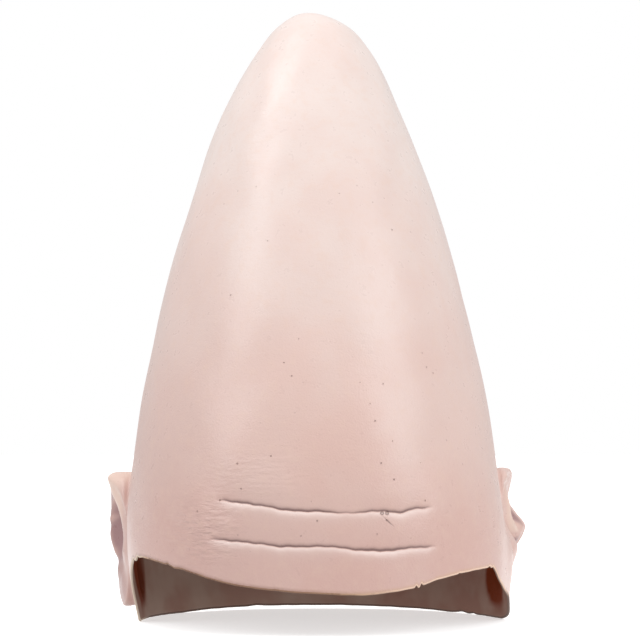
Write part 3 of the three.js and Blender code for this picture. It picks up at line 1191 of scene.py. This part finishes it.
class Tone:
    """One value of a material while it is worked out. Python's operators add its Math nodes."""

    def __init__(self, bench: "NodeBench", socket: bpy.types.NodeSocket) -> None:
        """Wraps a node's output."""
        self.bench = bench
        self.socket = socket

    def __add__(self, other: "Value") -> "Tone":
        """This plus other."""
        return self.bench.maths("ADD", self, other)

    def __radd__(self, other: "Value") -> "Tone":
        """Other plus this."""
        return self.bench.maths("ADD", other, self)

    def __sub__(self, other: "Value") -> "Tone":
        """This minus other."""
        return self.bench.maths("SUBTRACT", self, other)

    def __rsub__(self, other: "Value") -> "Tone":
        """Other minus this."""
        return self.bench.maths("SUBTRACT", other, self)

    def __mul__(self, other: "Value") -> "Tone":
        """This times other."""
        return self.bench.maths("MULTIPLY", self, other)

    def __rmul__(self, other: "Value") -> "Tone":
        """Other times this."""
        return self.bench.maths("MULTIPLY", other, self)

    def __abs__(self) -> "Tone":
        """This without its sign."""
        return self.bench.maths("ABSOLUTE", self, 0.0)

    def step(self, start: float, end: float) -> "Tone":
        """Rises smoothly from 0 at start to 1 at end.

        Args:
            start: the value at which it begins to rise.
            end: the value from which on it is 1.

        Returns:
            The share.
        """
        settings = {"interpolation_type": "SMOOTHSTEP"}
        sockets = {"Value": self, "From Min": start, "From Max": end}
        node = self.bench.node("ShaderNodeMapRange", settings, sockets)
        return Tone(self.bench, node.outputs["Result"])

    def near(self, middle: float, reach: float) -> "Tone":
        """1 at the middle, falling smoothly to 0 at its reach to both sides."""
        return 1 - abs(self - middle).step(0.0, reach)


Value = Union[Tone, float]
Link = Union[Tone, bpy.types.NodeSocket, float, Sequence[float]]


class NodeBench:
    """A node tree, and the few ways in which its nodes are made."""

    def __init__(self, tree: bpy.types.NodeTree) -> None:
        """Takes the tree."""
        self.tree = tree

    def node(
        self, kind: str, settings: Mapping[str, object], sockets: Mapping[Union[int, str], Link]
    ) -> bpy.types.Node:
        """Adds a node.

        Args:
            kind: the node's type.
            settings: its own settings, which are set first.
            sockets: values or links of its sockets, by name or number.

        Returns:
            The node.
        """
        node = self.tree.nodes.new(kind)
        for name, setting in settings.items():
            setattr(node, name, setting)
        for name, value in sockets.items():
            self.feed(node.inputs[name], value)
        return node

    def feed(self, socket: bpy.types.NodeSocket, value: Link) -> None:
        """Links a value to a socket, or sets a number or colour on it.

        Args:
            socket: the socket.
            value: another node's value, a number or a colour.
        """
        if isinstance(value, Tone):
            value = value.socket
        if isinstance(value, bpy.types.NodeSocket):
            self.tree.links.new(value, socket)
        else:
            socket.default_value = value

    def maths(self, operation: str, first: Value, second: Value) -> Tone:
        """A Math node on two values."""
        node = self.node("ShaderNodeMath", {"operation": operation}, {0: first, 1: second})
        return Tone(self, node.outputs[0])

    def axes(self, place: bpy.types.NodeSocket) -> tuple[Tone, Tone, Tone]:
        """The three coordinates of a place."""
        node = self.node("ShaderNodeSeparateXYZ", {}, {"Vector": place})
        return tuple(Tone(self, output) for output in node.outputs)


class PaintBench(NodeBench):
    """The node tree of one material."""

    def __init__(self, name: str) -> None:
        """Starts a material with a plain shader.

        Args:
            name: the material's name.
        """
        self.material = bpy.data.materials.new(name)
        self.material.use_nodes = True
        super().__init__(self.material.node_tree)
        self.shader = self.tree.nodes["Principled BSDF"]

    def place(self) -> bpy.types.NodeSocket:
        """Object coordinates, in metres."""
        return self.node("ShaderNodeTexCoord", {}, {}).outputs["Object"]

    def stretched(self, place: bpy.types.NodeSocket, scale: Sequence[float]) -> bpy.types.NodeSocket:
        """A place whose axes are scaled, which draws a pattern out along the least scaled of them."""
        sockets = {"Vector": place, "Scale": scale}
        return self.node("ShaderNodeMapping", {"vector_type": "POINT"}, sockets).outputs["Vector"]

    def mark(self, mark: Mark) -> Tone:
        """A mark of the skin's own mesh."""
        node = self.node("ShaderNodeAttribute", {"attribute_name": mark.value}, {})
        return Tone(self, node.outputs["Fac"])

    def noise(
        self, place: bpy.types.NodeSocket, length: float, detail: float = 2.0, rough: float = 0.5
    ) -> Tone:
        """Cloudy noise from 0 to 1.

        Args:
            place: the coordinates.
            length: rough size of its clouds, in millimetres.
            detail: how many finer layers it has.
            rough: how strong those are.

        Returns:
            The noise.
        """
        sockets = {"Vector": place, "Scale": METRE / length, "Detail": detail, "Roughness": rough}
        return Tone(self, self.node("ShaderNodeTexNoise", {}, sockets).outputs["Fac"])

    def spots(self, place: bpy.types.NodeSocket, spacing: float) -> Tone:
        """Distance in millimetres to the nearest of many scattered points.

        Args:
            place: the coordinates.
            spacing: mean distance of the points from each other, in millimetres.

        Returns:
            The distance.
        """
        node = self.node("ShaderNodeTexVoronoi", {}, {"Vector": place, "Scale": METRE / spacing})
        return Tone(self, node.outputs["Distance"]) * spacing

    def mix(self, share: Value, first: Link, second: Link) -> bpy.types.NodeSocket:
        """Two colours mixed by a share.

        Args:
            share: 0 for the first colour alone, 1 for the second.
            first: the first colour.
            second: the second colour.

        Returns:
            The mixed colour.
        """
        settings = {"data_type": "RGBA", "clamp_factor": True}
        sockets = {MIX_SHARE: share, MIX_FIRST: first, MIX_SECOND: second}
        return self.node("ShaderNodeMix", settings, sockets).outputs[MIX_RESULT]

    def finish(self, colour: Link, roughness: Link, height: Tone, specular: float) -> bpy.types.Material:
        """Feeds the shader.

        Args:
            colour: the base colour.
            roughness: the roughness.
            height: height of the fine relief, in millimetres.
            specular: the constant strength of its shine.

        Returns:
            The material.
        """
        bump = self.node("ShaderNodeBump", {}, {"Distance": 1 / METRE, "Height": height})
        fed = {
            "Base Color": colour,
            "Roughness": roughness,
            "Normal": bump.outputs["Normal"],
            "Specular IOR Level": specular,
        }
        for name, value in fed.items():
            self.feed(self.shader.inputs[name], value)
        return self.material


def tint(red: int, green: int, blue: int) -> Colour:
    """A screen colour as the linear colour that a shader takes, by the sRGB curve.

    Args:
        red: from 0 to 255.
        green: from 0 to 255.
        blue: from 0 to 255.

    Returns:
        The colour, opaque.
    """
    shares = [value / 255 for value in (red, green, blue)]
    linear = [s / 12.92 if s <= 0.04045 else ((s + 0.055) / 1.055) ** 2.4 for s in shares]
    return (*linear, 1.0)


# Finishes, with places in metres, and lengths of noise and depths of relief in millimetres.
# A share says how strongly a colour is laid on.

class WrinklePatch(NamedTuple):
    """A patch of fine wrinkles: its middle across and up, its reach both ways, and its strength."""

    across: float
    reach_across: float
    up: float
    reach_up: float
    strength: float

    def share(self, x: Tone, z: Tone) -> Tone:
        """How strongly the skin is wrinkled at coordinates across and up."""
        return x.near(self.across, self.reach_across) * z.near(self.up, self.reach_up) * self.strength


@dataclass(frozen=True)
class PaintedSkin:
    """Pale airbrushed flesh colour over latex: satin, faintly blotched, with pores, pinholes and wrinkles."""

    pale: Colour = tint(230, 212, 205)
    blush: Colour = tint(221, 184, 173)
    # painted shade, low down on the left
    dull: Colour = tint(199, 161, 153)
    ruddy: Colour = tint(204, 158, 149)
    warm: Colour = tint(226, 194, 176)
    # painted highlight on the ears' ridges
    peach: Colour = tint(240, 212, 196)
    # painted shade in the ears' hollows and in the wrinkles' valleys
    mauve: Colour = tint(150, 112, 114)
    # painted highlight on the creases' lower lips
    worn: Colour = tint(238, 218, 211)
    # painted shade in the creases, in the scratch and round the dents
    grime: Colour = tint(104, 72, 68)
    # painted shade in the pinholes
    pit: Colour = tint(128, 82, 74)
    latex: Colour = tint(214, 172, 140)
    umber: Colour = tint(148, 108, 90)
    roughness: float = 0.30
    roughness_spread: float = 0.16
    specular: float = 0.55

    front: Span = (-0.06, -0.02)  # from front to back
    lower: Span = (0.02, 0.26)  # upwards, as are the next three
    brow: Span = (0.025, 0.085)
    pits_start: Span = (0.03, 0.06)
    pits_end: Span = (0.17, 0.25)
    dull_side: Span = (0.0, 0.11)  # towards the left, where the painted shade lies
    aside: Span = (0.04, 0.08)  # to both sides
    browned: Span = (-0.02, 0.05)  # towards the right

    blotch_length: float = 62.0
    blotches: Span = (0.40, 0.66)
    blotch_share: float = 0.25
    blush_share: float = 0.85
    dull_share: float = 0.55
    ruddy_share: float = 0.34
    fine_length: float = 5.0
    warm_spots: Span = (0.45, 0.75)
    warm_share: float = 0.22
    speck_length: float = 1.3
    specks: Span = (0.55, 0.8)
    speck_share: float = 0.10

    pit_spacing: float = 6.0
    pit_edge: Span = (0.30, 0.56)
    pit_cloud: float = 30.0
    pit_rises: Span = (0.07, 0.11)  # more pinholes over the brow than above this
    more_pits: float = 0.20
    fewer_pits: float = 0.26  # on the sides
    pit_clouds: Span = (0.46, 0.63)
    pit_share: float = 0.5
    pit_depth: float = 0.35

    fold_span: Span = (0.1, 0.9)
    mauve_share: float = 0.85
    peach_share: float = 0.7
    grime_span: Span = (0.0, 1.15)
    grime_share: float = 0.85
    worn_share: float = 0.8
    rim_spots: Span = (0.3, 0.6)
    rim_share: float = 0.3  # of the bared latex, and as much again in spots

    streak_stretch: tuple[float, float, float] = (0.26, 0.26, 1.0)
    streak_length: float = 1.9
    wrinkles: tuple[WrinklePatch, WrinklePatch] = (
        WrinklePatch(-0.052, 0.024, 0.049, 0.024, 1.0),  # left of both creases
        WrinklePatch(-0.028, 0.032, 0.074, 0.020, 0.25),  # over the left end of the upper one
    )
    wrinkle_span: Span = (0.48, 0.66)
    wrinkle_share: float = 0.12
    wrinkle_depth: float = 1.5
    streak_depth: float = 0.05
    pore_length: float = 0.9
    pore_depth: float = 0.05
    lower_pore_depth: float = 0.10  # more of it, lower down
    fine_depth: float = 0.10

    scratch: tuple[Span, ...] = ((0.0307, 0.0559), (0.0360, 0.0510))  # its ends, across and up
    scratch_reach: float = 0.0005
    scratch_fade: float = 0.6  # of its length
    scratch_depth: float = 0.30
    dents: tuple[Span, ...] = ((0.0304, 0.0574), (0.0327, 0.0574))
    dent_reach: float = 0.0006
    dent_depth: float = 0.40
    blemish_share: float = 0.6

    def material(self) -> bpy.types.Material:
        """Makes the material.

        Returns:
            The material.
        """
        bench = PaintBench("painted_skin")
        place = bench.place()
        x, y, z = bench.axes(place)
        front = 1 - y.step(*self.front)

        blotch = bench.noise(place, self.blotch_length, detail=3.0, rough=0.55).step(*self.blotches)
        lower = 1 - z.step(*self.lower)
        # painted shade: darker low down on the left side
        dull = lower * (0 - x).step(*self.dull_side)
        fine = bench.noise(place, self.fine_length, detail=3.0, rough=0.6)
        speck = bench.noise(place, self.speck_length, detail=1.0)
        blushing = blotch * self.blotch_share + lower * self.blush_share
        colour = bench.mix(blushing, self.pale, self.blush)
        colour = bench.mix(dull * self.dull_share, colour, self.dull)
        brow = (1 - z.step(*self.brow)) * front
        colour = bench.mix(brow * self.ruddy_share, colour, self.ruddy)
        colour = bench.mix(fine.step(*self.warm_spots) * self.warm_share, colour, self.warm)
        colour = bench.mix((1 - speck).step(*self.specks) * self.speck_share, colour, self.blush)

        pitted = self._pinholes(bench, place, front)
        shade = bench.mark(Mark.SHADE)
        # painted shade in the pinholes
        colour = bench.mix(pitted * self.pit_share, colour, self.pit)
        # painted shade in the ears' hollows, and a painted highlight on their ridges
        fold = bench.mark(Mark.FOLD)
        colour = bench.mix(fold.step(*self.fold_span) * self.mauve_share, colour, self.mauve)
        colour = bench.mix((0 - fold).step(*self.fold_span) * self.peach_share, colour, self.peach)
        scar, dents = self._blemish(bench, x, z)
        scar, dents = scar * front, dents * front
        # painted shade in and over the creases, and a painted highlight on their lower lips
        colour = bench.mix(shade.step(*self.grime_span) * self.grime_share, colour, self.grime)
        colour = bench.mix((0 - shade) * self.worn_share, colour, self.worn)
        # painted shade in the scratch and on the rings of the dents
        colour = bench.mix((scar + dents) * self.blemish_share, colour, self.grime)
        bared = bench.mix(1 - x.step(*self.browned), self.latex, self.umber)
        rim = fine.step(*self.rim_spots) * self.rim_share + self.rim_share
        colour = bench.mix(bench.mark(Mark.RIM) * rim, colour, bared)

        streaks = bench.noise(bench.stretched(place, self.streak_stretch), self.streak_length)
        left, over = (patch.share(x, z) for patch in self.wrinkles)
        wrinkled = (left + over) * front
        # painted shade in the valleys of the fine wrinkles
        creased = (1 - streaks).step(*self.wrinkle_span) * wrinkled
        colour = bench.mix(creased * self.wrinkle_share, colour, self.mauve)
        pores = bench.noise(place, self.pore_length, rough=0.6)
        height = pores * (self.pore_depth + lower * self.lower_pore_depth) + fine * self.fine_depth
        height = height - pitted * self.pit_depth
        height = height + streaks * (self.streak_depth + wrinkled * self.wrinkle_depth)
        height = height - scar * self.scratch_depth - dents * self.dent_depth
        roughness = self.roughness + (fine - NOISE_MIDDLE) * self.roughness_spread
        return bench.finish(colour, roughness, height, self.specular)

    def _pinholes(self, bench: PaintBench, place: bpy.types.NodeSocket, front: Tone) -> Tone:
        """Small round holes left by bubbles, in clouds: more over the brow, fewer on the sides.

        Args:
            bench: the material's bench.
            place: the coordinates.
            front: 1 on the front of the cap.

        Returns:
            How deep the holes are, from 0 to 1.
        """
        x, _, z = bench.axes(place)
        pinhole = 1 - bench.spots(place, self.pit_spacing).step(*self.pit_edge)
        over_brow = front * (1 - z.step(*self.pit_rises))
        strewn = bench.noise(place, self.pit_cloud) + over_brow * self.more_pits
        strewn = (strewn - abs(x).step(*self.aside) * self.fewer_pits).step(*self.pit_clouds)
        return pinhole * strewn * z.step(*self.pits_start) * (1 - z.step(*self.pits_end))

    def _blemish(self, bench: PaintBench, x: Tone, z: Tone) -> tuple[Tone, Tone]:
        """A short scratch over the brow and the two small dents at its head.

        Args:
            bench: the material's bench.
            x: coordinate across, in metres.
            z: coordinate up, in metres.

        Returns:
            How deep the scratch is, and how deep the dents are, from 0 to 1.
        """
        (start_x, start_z), (end_x, end_z) = self.scratch
        length = math.hypot(end_x - start_x, end_z - start_z)
        run, fall = (end_x - start_x) / length, (end_z - start_z) / length
        along = (x - start_x) * run + (z - start_z) * fall
        across = (z - start_z) * run - (x - start_x) * fall
        scar = across.near(0.0, self.scratch_reach) * along.near(length / 2, length * self.scratch_fade)
        first, second = (self._dent(bench, x - dent_x, z - dent_z) for dent_x, dent_z in self.dents)
        return scar, first + second

    def _dent(self, bench: PaintBench, away_x: Tone, away_z: Tone) -> Tone:
        """The ring of a dent, from the distances to its middle."""
        away = bench.maths("SQRT", away_x * away_x + away_z * away_z, 0.0)
        return away.near(self.dent_reach, self.dent_reach)


@dataclass(frozen=True)
class RawLatex:
    """Bare latex inside the cap: taupe-brown and dull, with casting streaks and a darker rust-red in the
    ears' hollows.
    """

    taupe: Colour = tint(184, 159, 145)
    brown: Colour = tint(164, 125, 112)
    rust: Colour = tint(124, 51, 22)
    roughness: float = 0.62
    roughness_spread: float = 0.2
    specular: float = 0.04
    cloud_length: float = 34.0
    clouds: Span = (0.35, 0.7)
    cloud_share: float = 0.7
    cloud_depth: float = 0.3
    streak_stretch: tuple[float, float, float] = (1.0, 1.0, 0.25)
    streak_length: float = 7.0
    streak_share: float = 0.2
    streak_depth: float = 0.12
    stain_share: float = 0.95
    stain_spread: float = 0.3
    warm_side: Span = (0.0, 0.08)  # towards the right
    warm_share: float = 0.5
    grain_length: float = 1.2
    grain_depth: float = 0.06

    def material(self) -> bpy.types.Material:
        """Makes the material.

        Returns:
            The material.
        """
        bench = PaintBench("raw_latex")
        place = bench.place()
        cloud = bench.noise(place, self.cloud_length, detail=3.0, rough=0.55)
        streaks = bench.noise(bench.stretched(place, self.streak_stretch), self.streak_length)
        stain = bench.mark(Mark.RUST) * (self.stain_share + cloud * self.stain_spread)
        warmer = bench.axes(place)[0].step(*self.warm_side) * self.warm_share
        browner = cloud.step(*self.clouds) * self.cloud_share + streaks * self.streak_share + warmer
        colour = bench.mix(browner, self.taupe, self.brown)
        colour = bench.mix(stain, colour, self.rust)
        grain = bench.noise(place, self.grain_length)
        height = cloud * self.cloud_depth + streaks * self.streak_depth + grain * self.grain_depth
        roughness = self.roughness + (cloud - NOISE_MIDDLE) * self.roughness_spread
        return bench.finish(colour, roughness, height, self.specular)


@dataclass(frozen=True)
class CutLatex:
    """The trimmed edge: bare tan latex, browned in places, with the marks of the blade."""

    tan: Colour = tint(230, 190, 158)
    brown: Colour = tint(136, 98, 78)
    pale: Colour = tint(240, 222, 204)
    # painted highlight on the right half of the cut edge
    peach: Colour = tint(252, 218, 196)
    shadow: Colour = tint(92, 54, 38)
    dark: Colour = tint(112, 88, 76)
    roughness: float = 0.6
    roughness_spread: float = 0.15
    specular: float = 0.4
    patch_length: float = 9.0
    patches: Span = (0.5, 0.72)
    patch_share: float = 0.55
    patch_depth: float = 0.10
    blade_length: float = 0.8
    blade_depth: float = 0.10
    aged_start: Span = (-0.088, -0.074)  # towards the right, as are the next four
    aged_end: Span = (-0.01, 0.04)
    peach_start: Span = (0.01, 0.05)
    flap_end: Span = (-0.088, -0.080)
    curl_start: Span = (0.088, 0.093)
    curl_top: Span = (0.012, 0.020)  # upwards
    nape_start: Span = (0.0, 0.03)  # towards the back
    aged_share: float = 0.85
    peach_share: float = 0.8
    flap_share: float = 0.8
    under_span: Span = (0.18, 0.5)  # shares of the way in
    under_share: float = 0.85

    def material(self) -> bpy.types.Material:
        """Makes the material.

        Returns:
            The material.
        """
        bench = PaintBench("cut_latex")
        place = bench.place()
        x, y, z = bench.axes(place)
        patch = bench.noise(place, self.patch_length, detail=3.0, rough=0.6)
        blade = bench.noise(place, self.blade_length, detail=1.0)
        aged = x.step(*self.aged_start) * (1 - x.step(*self.aged_end))
        browner = patch.step(*self.patches) * self.patch_share + aged * self.aged_share
        colour = bench.mix(browner, self.tan, self.brown)
        # painted highlight along the right half of the cut edge
        colour = bench.mix(x.step(*self.peach_start) * self.peach_share, colour, self.peach)
        flap = (1 - x.step(*self.flap_end)) * self.flap_share
        colour = bench.mix(flap, colour, self.pale)
        nape = y.step(*self.nape_start)
        curl = x.step(*self.curl_start) * (1 - z.step(*self.curl_top))
        under = bench.mark(Mark.SHADE).step(*self.under_span) * (1 - flap)
        colour = bench.mix(under * self.under_share, colour, self.shadow)
        colour = bench.mix(nape + curl, colour, self.dark)
        height = blade * self.blade_depth + patch * self.patch_depth
        roughness = self.roughness + (blade - NOISE_MIDDLE) * self.roughness_spread
        return bench.finish(colour, roughness, height, self.specular)


# The studio

class LightName(Enum):
    """The soft lights of the studio."""

    LEFT = "left_box"
    RIGHT = "right_box"
    TIP = "tip_box"


@dataclass(frozen=True)
class SoftLight:
    """A soft box: its place, its width and height, its power and what it points at, in metres and watts."""

    name: LightName
    place: tuple[float, float, float]
    size: tuple[float, float]
    power: float
    target: tuple[float, float, float] = (0.0, 0.0, 0.16)
    colour: tuple[float, float, float] = (0.94, 0.98, 1.0)

    def build(self) -> bpy.types.Object:
        """Makes the light, turned to its target.

        Returns:
            The light.
        """
        data = bpy.data.lights.new(self.name.value, "AREA")
        data.shape = "RECTANGLE"
        data.size, data.size_y = self.size
        data.energy = self.power
        data.color = self.colour
        light = bpy.data.objects.new(self.name.value, data)
        light.location = self.place
        way = Vector(self.target) - Vector(self.place)
        light.rotation_euler = way.to_track_quat("-Z", "Y").to_euler()
        bpy.context.scene.collection.objects.link(light)
        return light


@dataclass
class Studio:
    """A plain pale floor, a bright room, soft lights and the photograph's camera."""

    floor_radius: float = 6.0
    floor_hub: float = 0.02  # share of the radius that its middle face has
    floor_roughness: float = 0.9
    floor_colour: Colour = (0.86, 0.86, 0.86, 1.0)
    floor_glow: float = 0.7  # the floor is a sheet lit from below
    room_colour: Colour = (1.0, 1.0, 1.0, 1.0)
    room_light: float = 0.62  # of the room's walls, at the level of the cap
    room_rise: float = 0.43  # how much brighter its ceiling is
    room_shown: float = 1.0  # of the white background in the picture
    camera_place: tuple[float, float, float] = (0.0, -1.4022, 0.102)
    camera_lens: float = 157.5
    camera_sensor: float = 36.0
    camera_pitch: float = 1.984  # degrees up
    camera_yaw: float = 0.07  # degrees to the right
    lights: tuple[SoftLight, ...] = (
        SoftLight(LightName.LEFT, (-1.00, -0.62, 0.80), (0.6, 1.1), 4.1),
        SoftLight(LightName.RIGHT, (0.99, -0.67, 0.68), (0.8, 1.1), 6.1),
        SoftLight(LightName.TIP, (-0.29, -0.06, 0.75), (0.30, 0.30), 0.72, (0.0, 0.03, 0.27)),
    )

    def build_floor(self, rings: int = 3, spokes: int = 48) -> bpy.types.Object:
        """Makes the floor, a flat disc: radius times cosine and sine of the angle, on rings and spokes.

        Args:
            rings: how many rings of faces it has.
            spokes: how many faces go round.

        Returns:
            The floor.
        """
        radius = np.linspace(self.floor_hub, 1, rings + 1)[:, None] * self.floor_radius
        angle = np.linspace(0, 2 * np.pi, spokes, endpoint=False)
        points = np.stack([radius * np.cos(angle), radius * np.sin(angle), 0 * radius * angle], axis=-1)
        numbers = np.arange(points.shape[0] * spokes).reshape(-1, spokes)
        low, high = numbers[:-1], numbers[1:]
        quads = np.stack([low, high, np.roll(high, -1, 1), np.roll(low, -1, 1)], axis=-1).reshape(-1, 4)
        mesh = bpy.data.meshes.new("floor")
        mesh.from_pydata(points.reshape(-1, 3), [], quads.tolist() + [numbers[0].tolist()])
        bench = PaintBench("pale_floor")
        paint = {
            "Base Color": self.floor_colour,
            "Roughness": self.floor_roughness,
            "Emission Color": self.floor_colour,
            "Emission Strength": self.floor_glow,
        }
        for name, value in paint.items():
            bench.feed(bench.shader.inputs[name], value)
        mesh.materials.append(bench.material)
        floor = bpy.data.objects.new("floor", mesh)
        bpy.context.scene.collection.objects.link(floor)
        floor.visible_diffuse = False  # it throws no light back up
        return floor

    def build_room(self) -> None:
        """Sets the room, which is even all round and lighter above, on a white background."""
        world = bpy.data.worlds.new("room")
        world.use_nodes = True
        bench = NodeBench(world.node_tree)
        direction = bench.node("ShaderNodeTexCoord", {}, {}).outputs["Generated"]
        upward = bench.maths("MAXIMUM", bench.axes(direction)[2], 0.0)
        seen = Tone(bench, bench.node("ShaderNodeLightPath", {}, {}).outputs["Is Camera Ray"])
        light = self.room_light + upward * self.room_rise
        background = world.node_tree.nodes["Background"]
        bench.feed(background.inputs["Color"], self.room_colour)
        bench.feed(background.inputs["Strength"], light + seen * (self.room_shown - light))
        bpy.context.scene.world = world
        bpy.context.scene.view_settings.view_transform = "Standard"

    def build_camera(self) -> bpy.types.Object:
        """Makes the camera at the photograph's place and angle.

        Returns:
            The camera.
        """
        data = bpy.data.cameras.new("camera")
        data.lens = self.camera_lens
        data.sensor_width = self.camera_sensor
        camera = bpy.data.objects.new("camera", data)
        camera.location = self.camera_place
        pitch, yaw = math.radians(90 + self.camera_pitch), -math.radians(self.camera_yaw)
        camera.rotation_euler = (pitch, 0.0, yaw)
        bpy.context.scene.collection.objects.link(camera)
        bpy.context.scene.camera = camera
        return camera


# The cap as it was cast

LOW_CREASE = Crease(
    (
        CreaseStep(-31, 45.3, 0.7),
        CreaseStep(-22, 44.5, 1.1),
        CreaseStep(-14, 43.4, 1.0),
        CreaseStep(-8.5, 42.3, 1.2),
        CreaseStep(3, 42.4, 1.0),
        CreaseStep(9, 41.0, 1.1),
        CreaseStep(15, 40.4, 1.4),
        CreaseStep(20.5, 40.3, 1.4),
        CreaseStep(24, 41.2, 1.1),
        CreaseStep(35, 41.6, 0.9),
    )
)
HIGH_CREASE = Crease(
    (
        CreaseStep(-28.5, 63.5, 0.8),
        CreaseStep(-20, 62.3, 1.2),
        CreaseStep(-13, 60.9, 1.0),
        CreaseStep(-6, 59.0, 1.3),
        CreaseStep(1, 58.6, 1.2),
        CreaseStep(8, 57.8, 0.6),
        CreaseStep(13, 58.3, 0.9),
        CreaseStep(18, 58.8, 1.0),
        CreaseStep(23, 57.8, 1.2),
        CreaseStep(29, 59.6, 1.0),
        CreaseStep(35, 59.9, 0.8),
    )
)


def make_cap() -> LatexCap:
    """The cap with its two ears, which the soft latex has bent a little differently.

    Returns:
        The cap.
    """
    wall = Wall()
    left = Ear(
        wall,
        Side.LEFT,
        rise=41.0,
        half_height=31.5,
        lifts=(
            Lift(0, 7.0),
            Lift(0.34, 7.2),
            Lift(0.55, 11.0),
            Lift(0.76, 12.4),
            Lift(0.9, 12.0),
            Lift(1, 8.0),
        ),
        concha=Bump(0.95, -1, 6, 9, 16),
        folds=(
            Fold(11.0, 5.0, (-8.5, -12), (-9.5, 8), (-1, 34), 2.0),  # front of the helix
            Fold(1.6, 2.5, (5, -8), (14, -3), (9, 9)),  # antihelix
            Fold(1.6, 2.0, (9, 8), (8.5, 16), (3, 22)),  # its upper branch
            Fold(1.8, 1.6, (10, 8), (4, 14), (-3, 17)),  # its lower branch
        ),
        bumps=(
            Bump(1.2, -9, -8, 4, 5),  # tragus
            Bump(1.2, 3, -15, 5.5, 4.5),  # antitragus
            Bump(-0.8, -4, -14, 2.6, 3.6),  # notch between the two
        ),
        dusk=(Bump(1.3, 5, 7, 11, 19), Bump(0.45, 0, -24, 14, 12)),
        stain=Bump(0.85, 2.5, -13, 17, 23),
    )
    right = Ear(
        wall,
        Side.RIGHT,
        rise=44.6,
        half_height=30.0,
        lifts=(
            Lift(0, 0.0),
            Lift(0.2, 0.2),
            Lift(0.32, 3.4),
            Lift(0.41, 8.6),
            Lift(0.5, 13.4),
            Lift(0.55, 14.8),
            Lift(0.66, 10.4),
            Lift(0.76, 7.0),
            Lift(0.87, 8.6),
            Lift(1, 9.6),
        ),
        concha=Bump(0.92, -2, -1, 10, 14),
        folds=(
            Fold(7.6, 2.2, (-8, 37), (-7, 9), (8.4, -1.6), 1.35),  # helix, bent over
            Fold(-2.4, 2.2, (0, 24), (3, 13), (11, 3)),  # furrow behind it
            Fold(-1.4, 1.2, (-10, 8), (-1, 4), (4, -7)),  # furrow before it
        ),
        bumps=(
            Bump(3.8, -3, -7.8, 8, 8.5),  # tragus
            Bump(0.7, 3, -20, 6, 5),  # antitragus
        ),
        dusk=(Bump(0.35, 12, 7, 6, 6.5), Bump(1.0, 8, -6.0, 7, 4.5)),
        stain=Bump(1.0, 14.5, -23.0, 17.5, 15.5),
        pad=0.3,
        rim_ridges=(
            RimRidge(2.2, 0.91, 0.075, -45, 165),  # helix
            RimRidge(-1.0, 0.76, 0.07, -35, 120),  # furrow inside the helix
        ),
    )
    return LatexCap(wall, TrimmedEdge(), LOW_CREASE, HIGH_CREASE, (left, right))


def main() -> None:
    """Builds the studio and the cap, and reports each piece."""
    logging.basicConfig(level=logging.INFO, format="%(name)s: %(message)s")
    studio = Studio()
    studio.build_camera()
    studio.build_room()
    for light in studio.lights:
        log.info("light %s", light.build().name)
    log.info("floor %s", studio.build_floor().name)

    cap = make_cap()
    skin = cap.build()
    finishes = {
        Face.PAINTED: PaintedSkin().material(),
        Face.RAW: RawLatex().material(),
        Face.CUT: CutLatex().material(),
    }
    cap.dress(skin, finishes)
    points, faces = len(skin.data.vertices), len(skin.data.polygons)
    log.info("piece %s: %d points, %d faces", skin.name, points, faces)


if __name__ == "__main__":
    main()
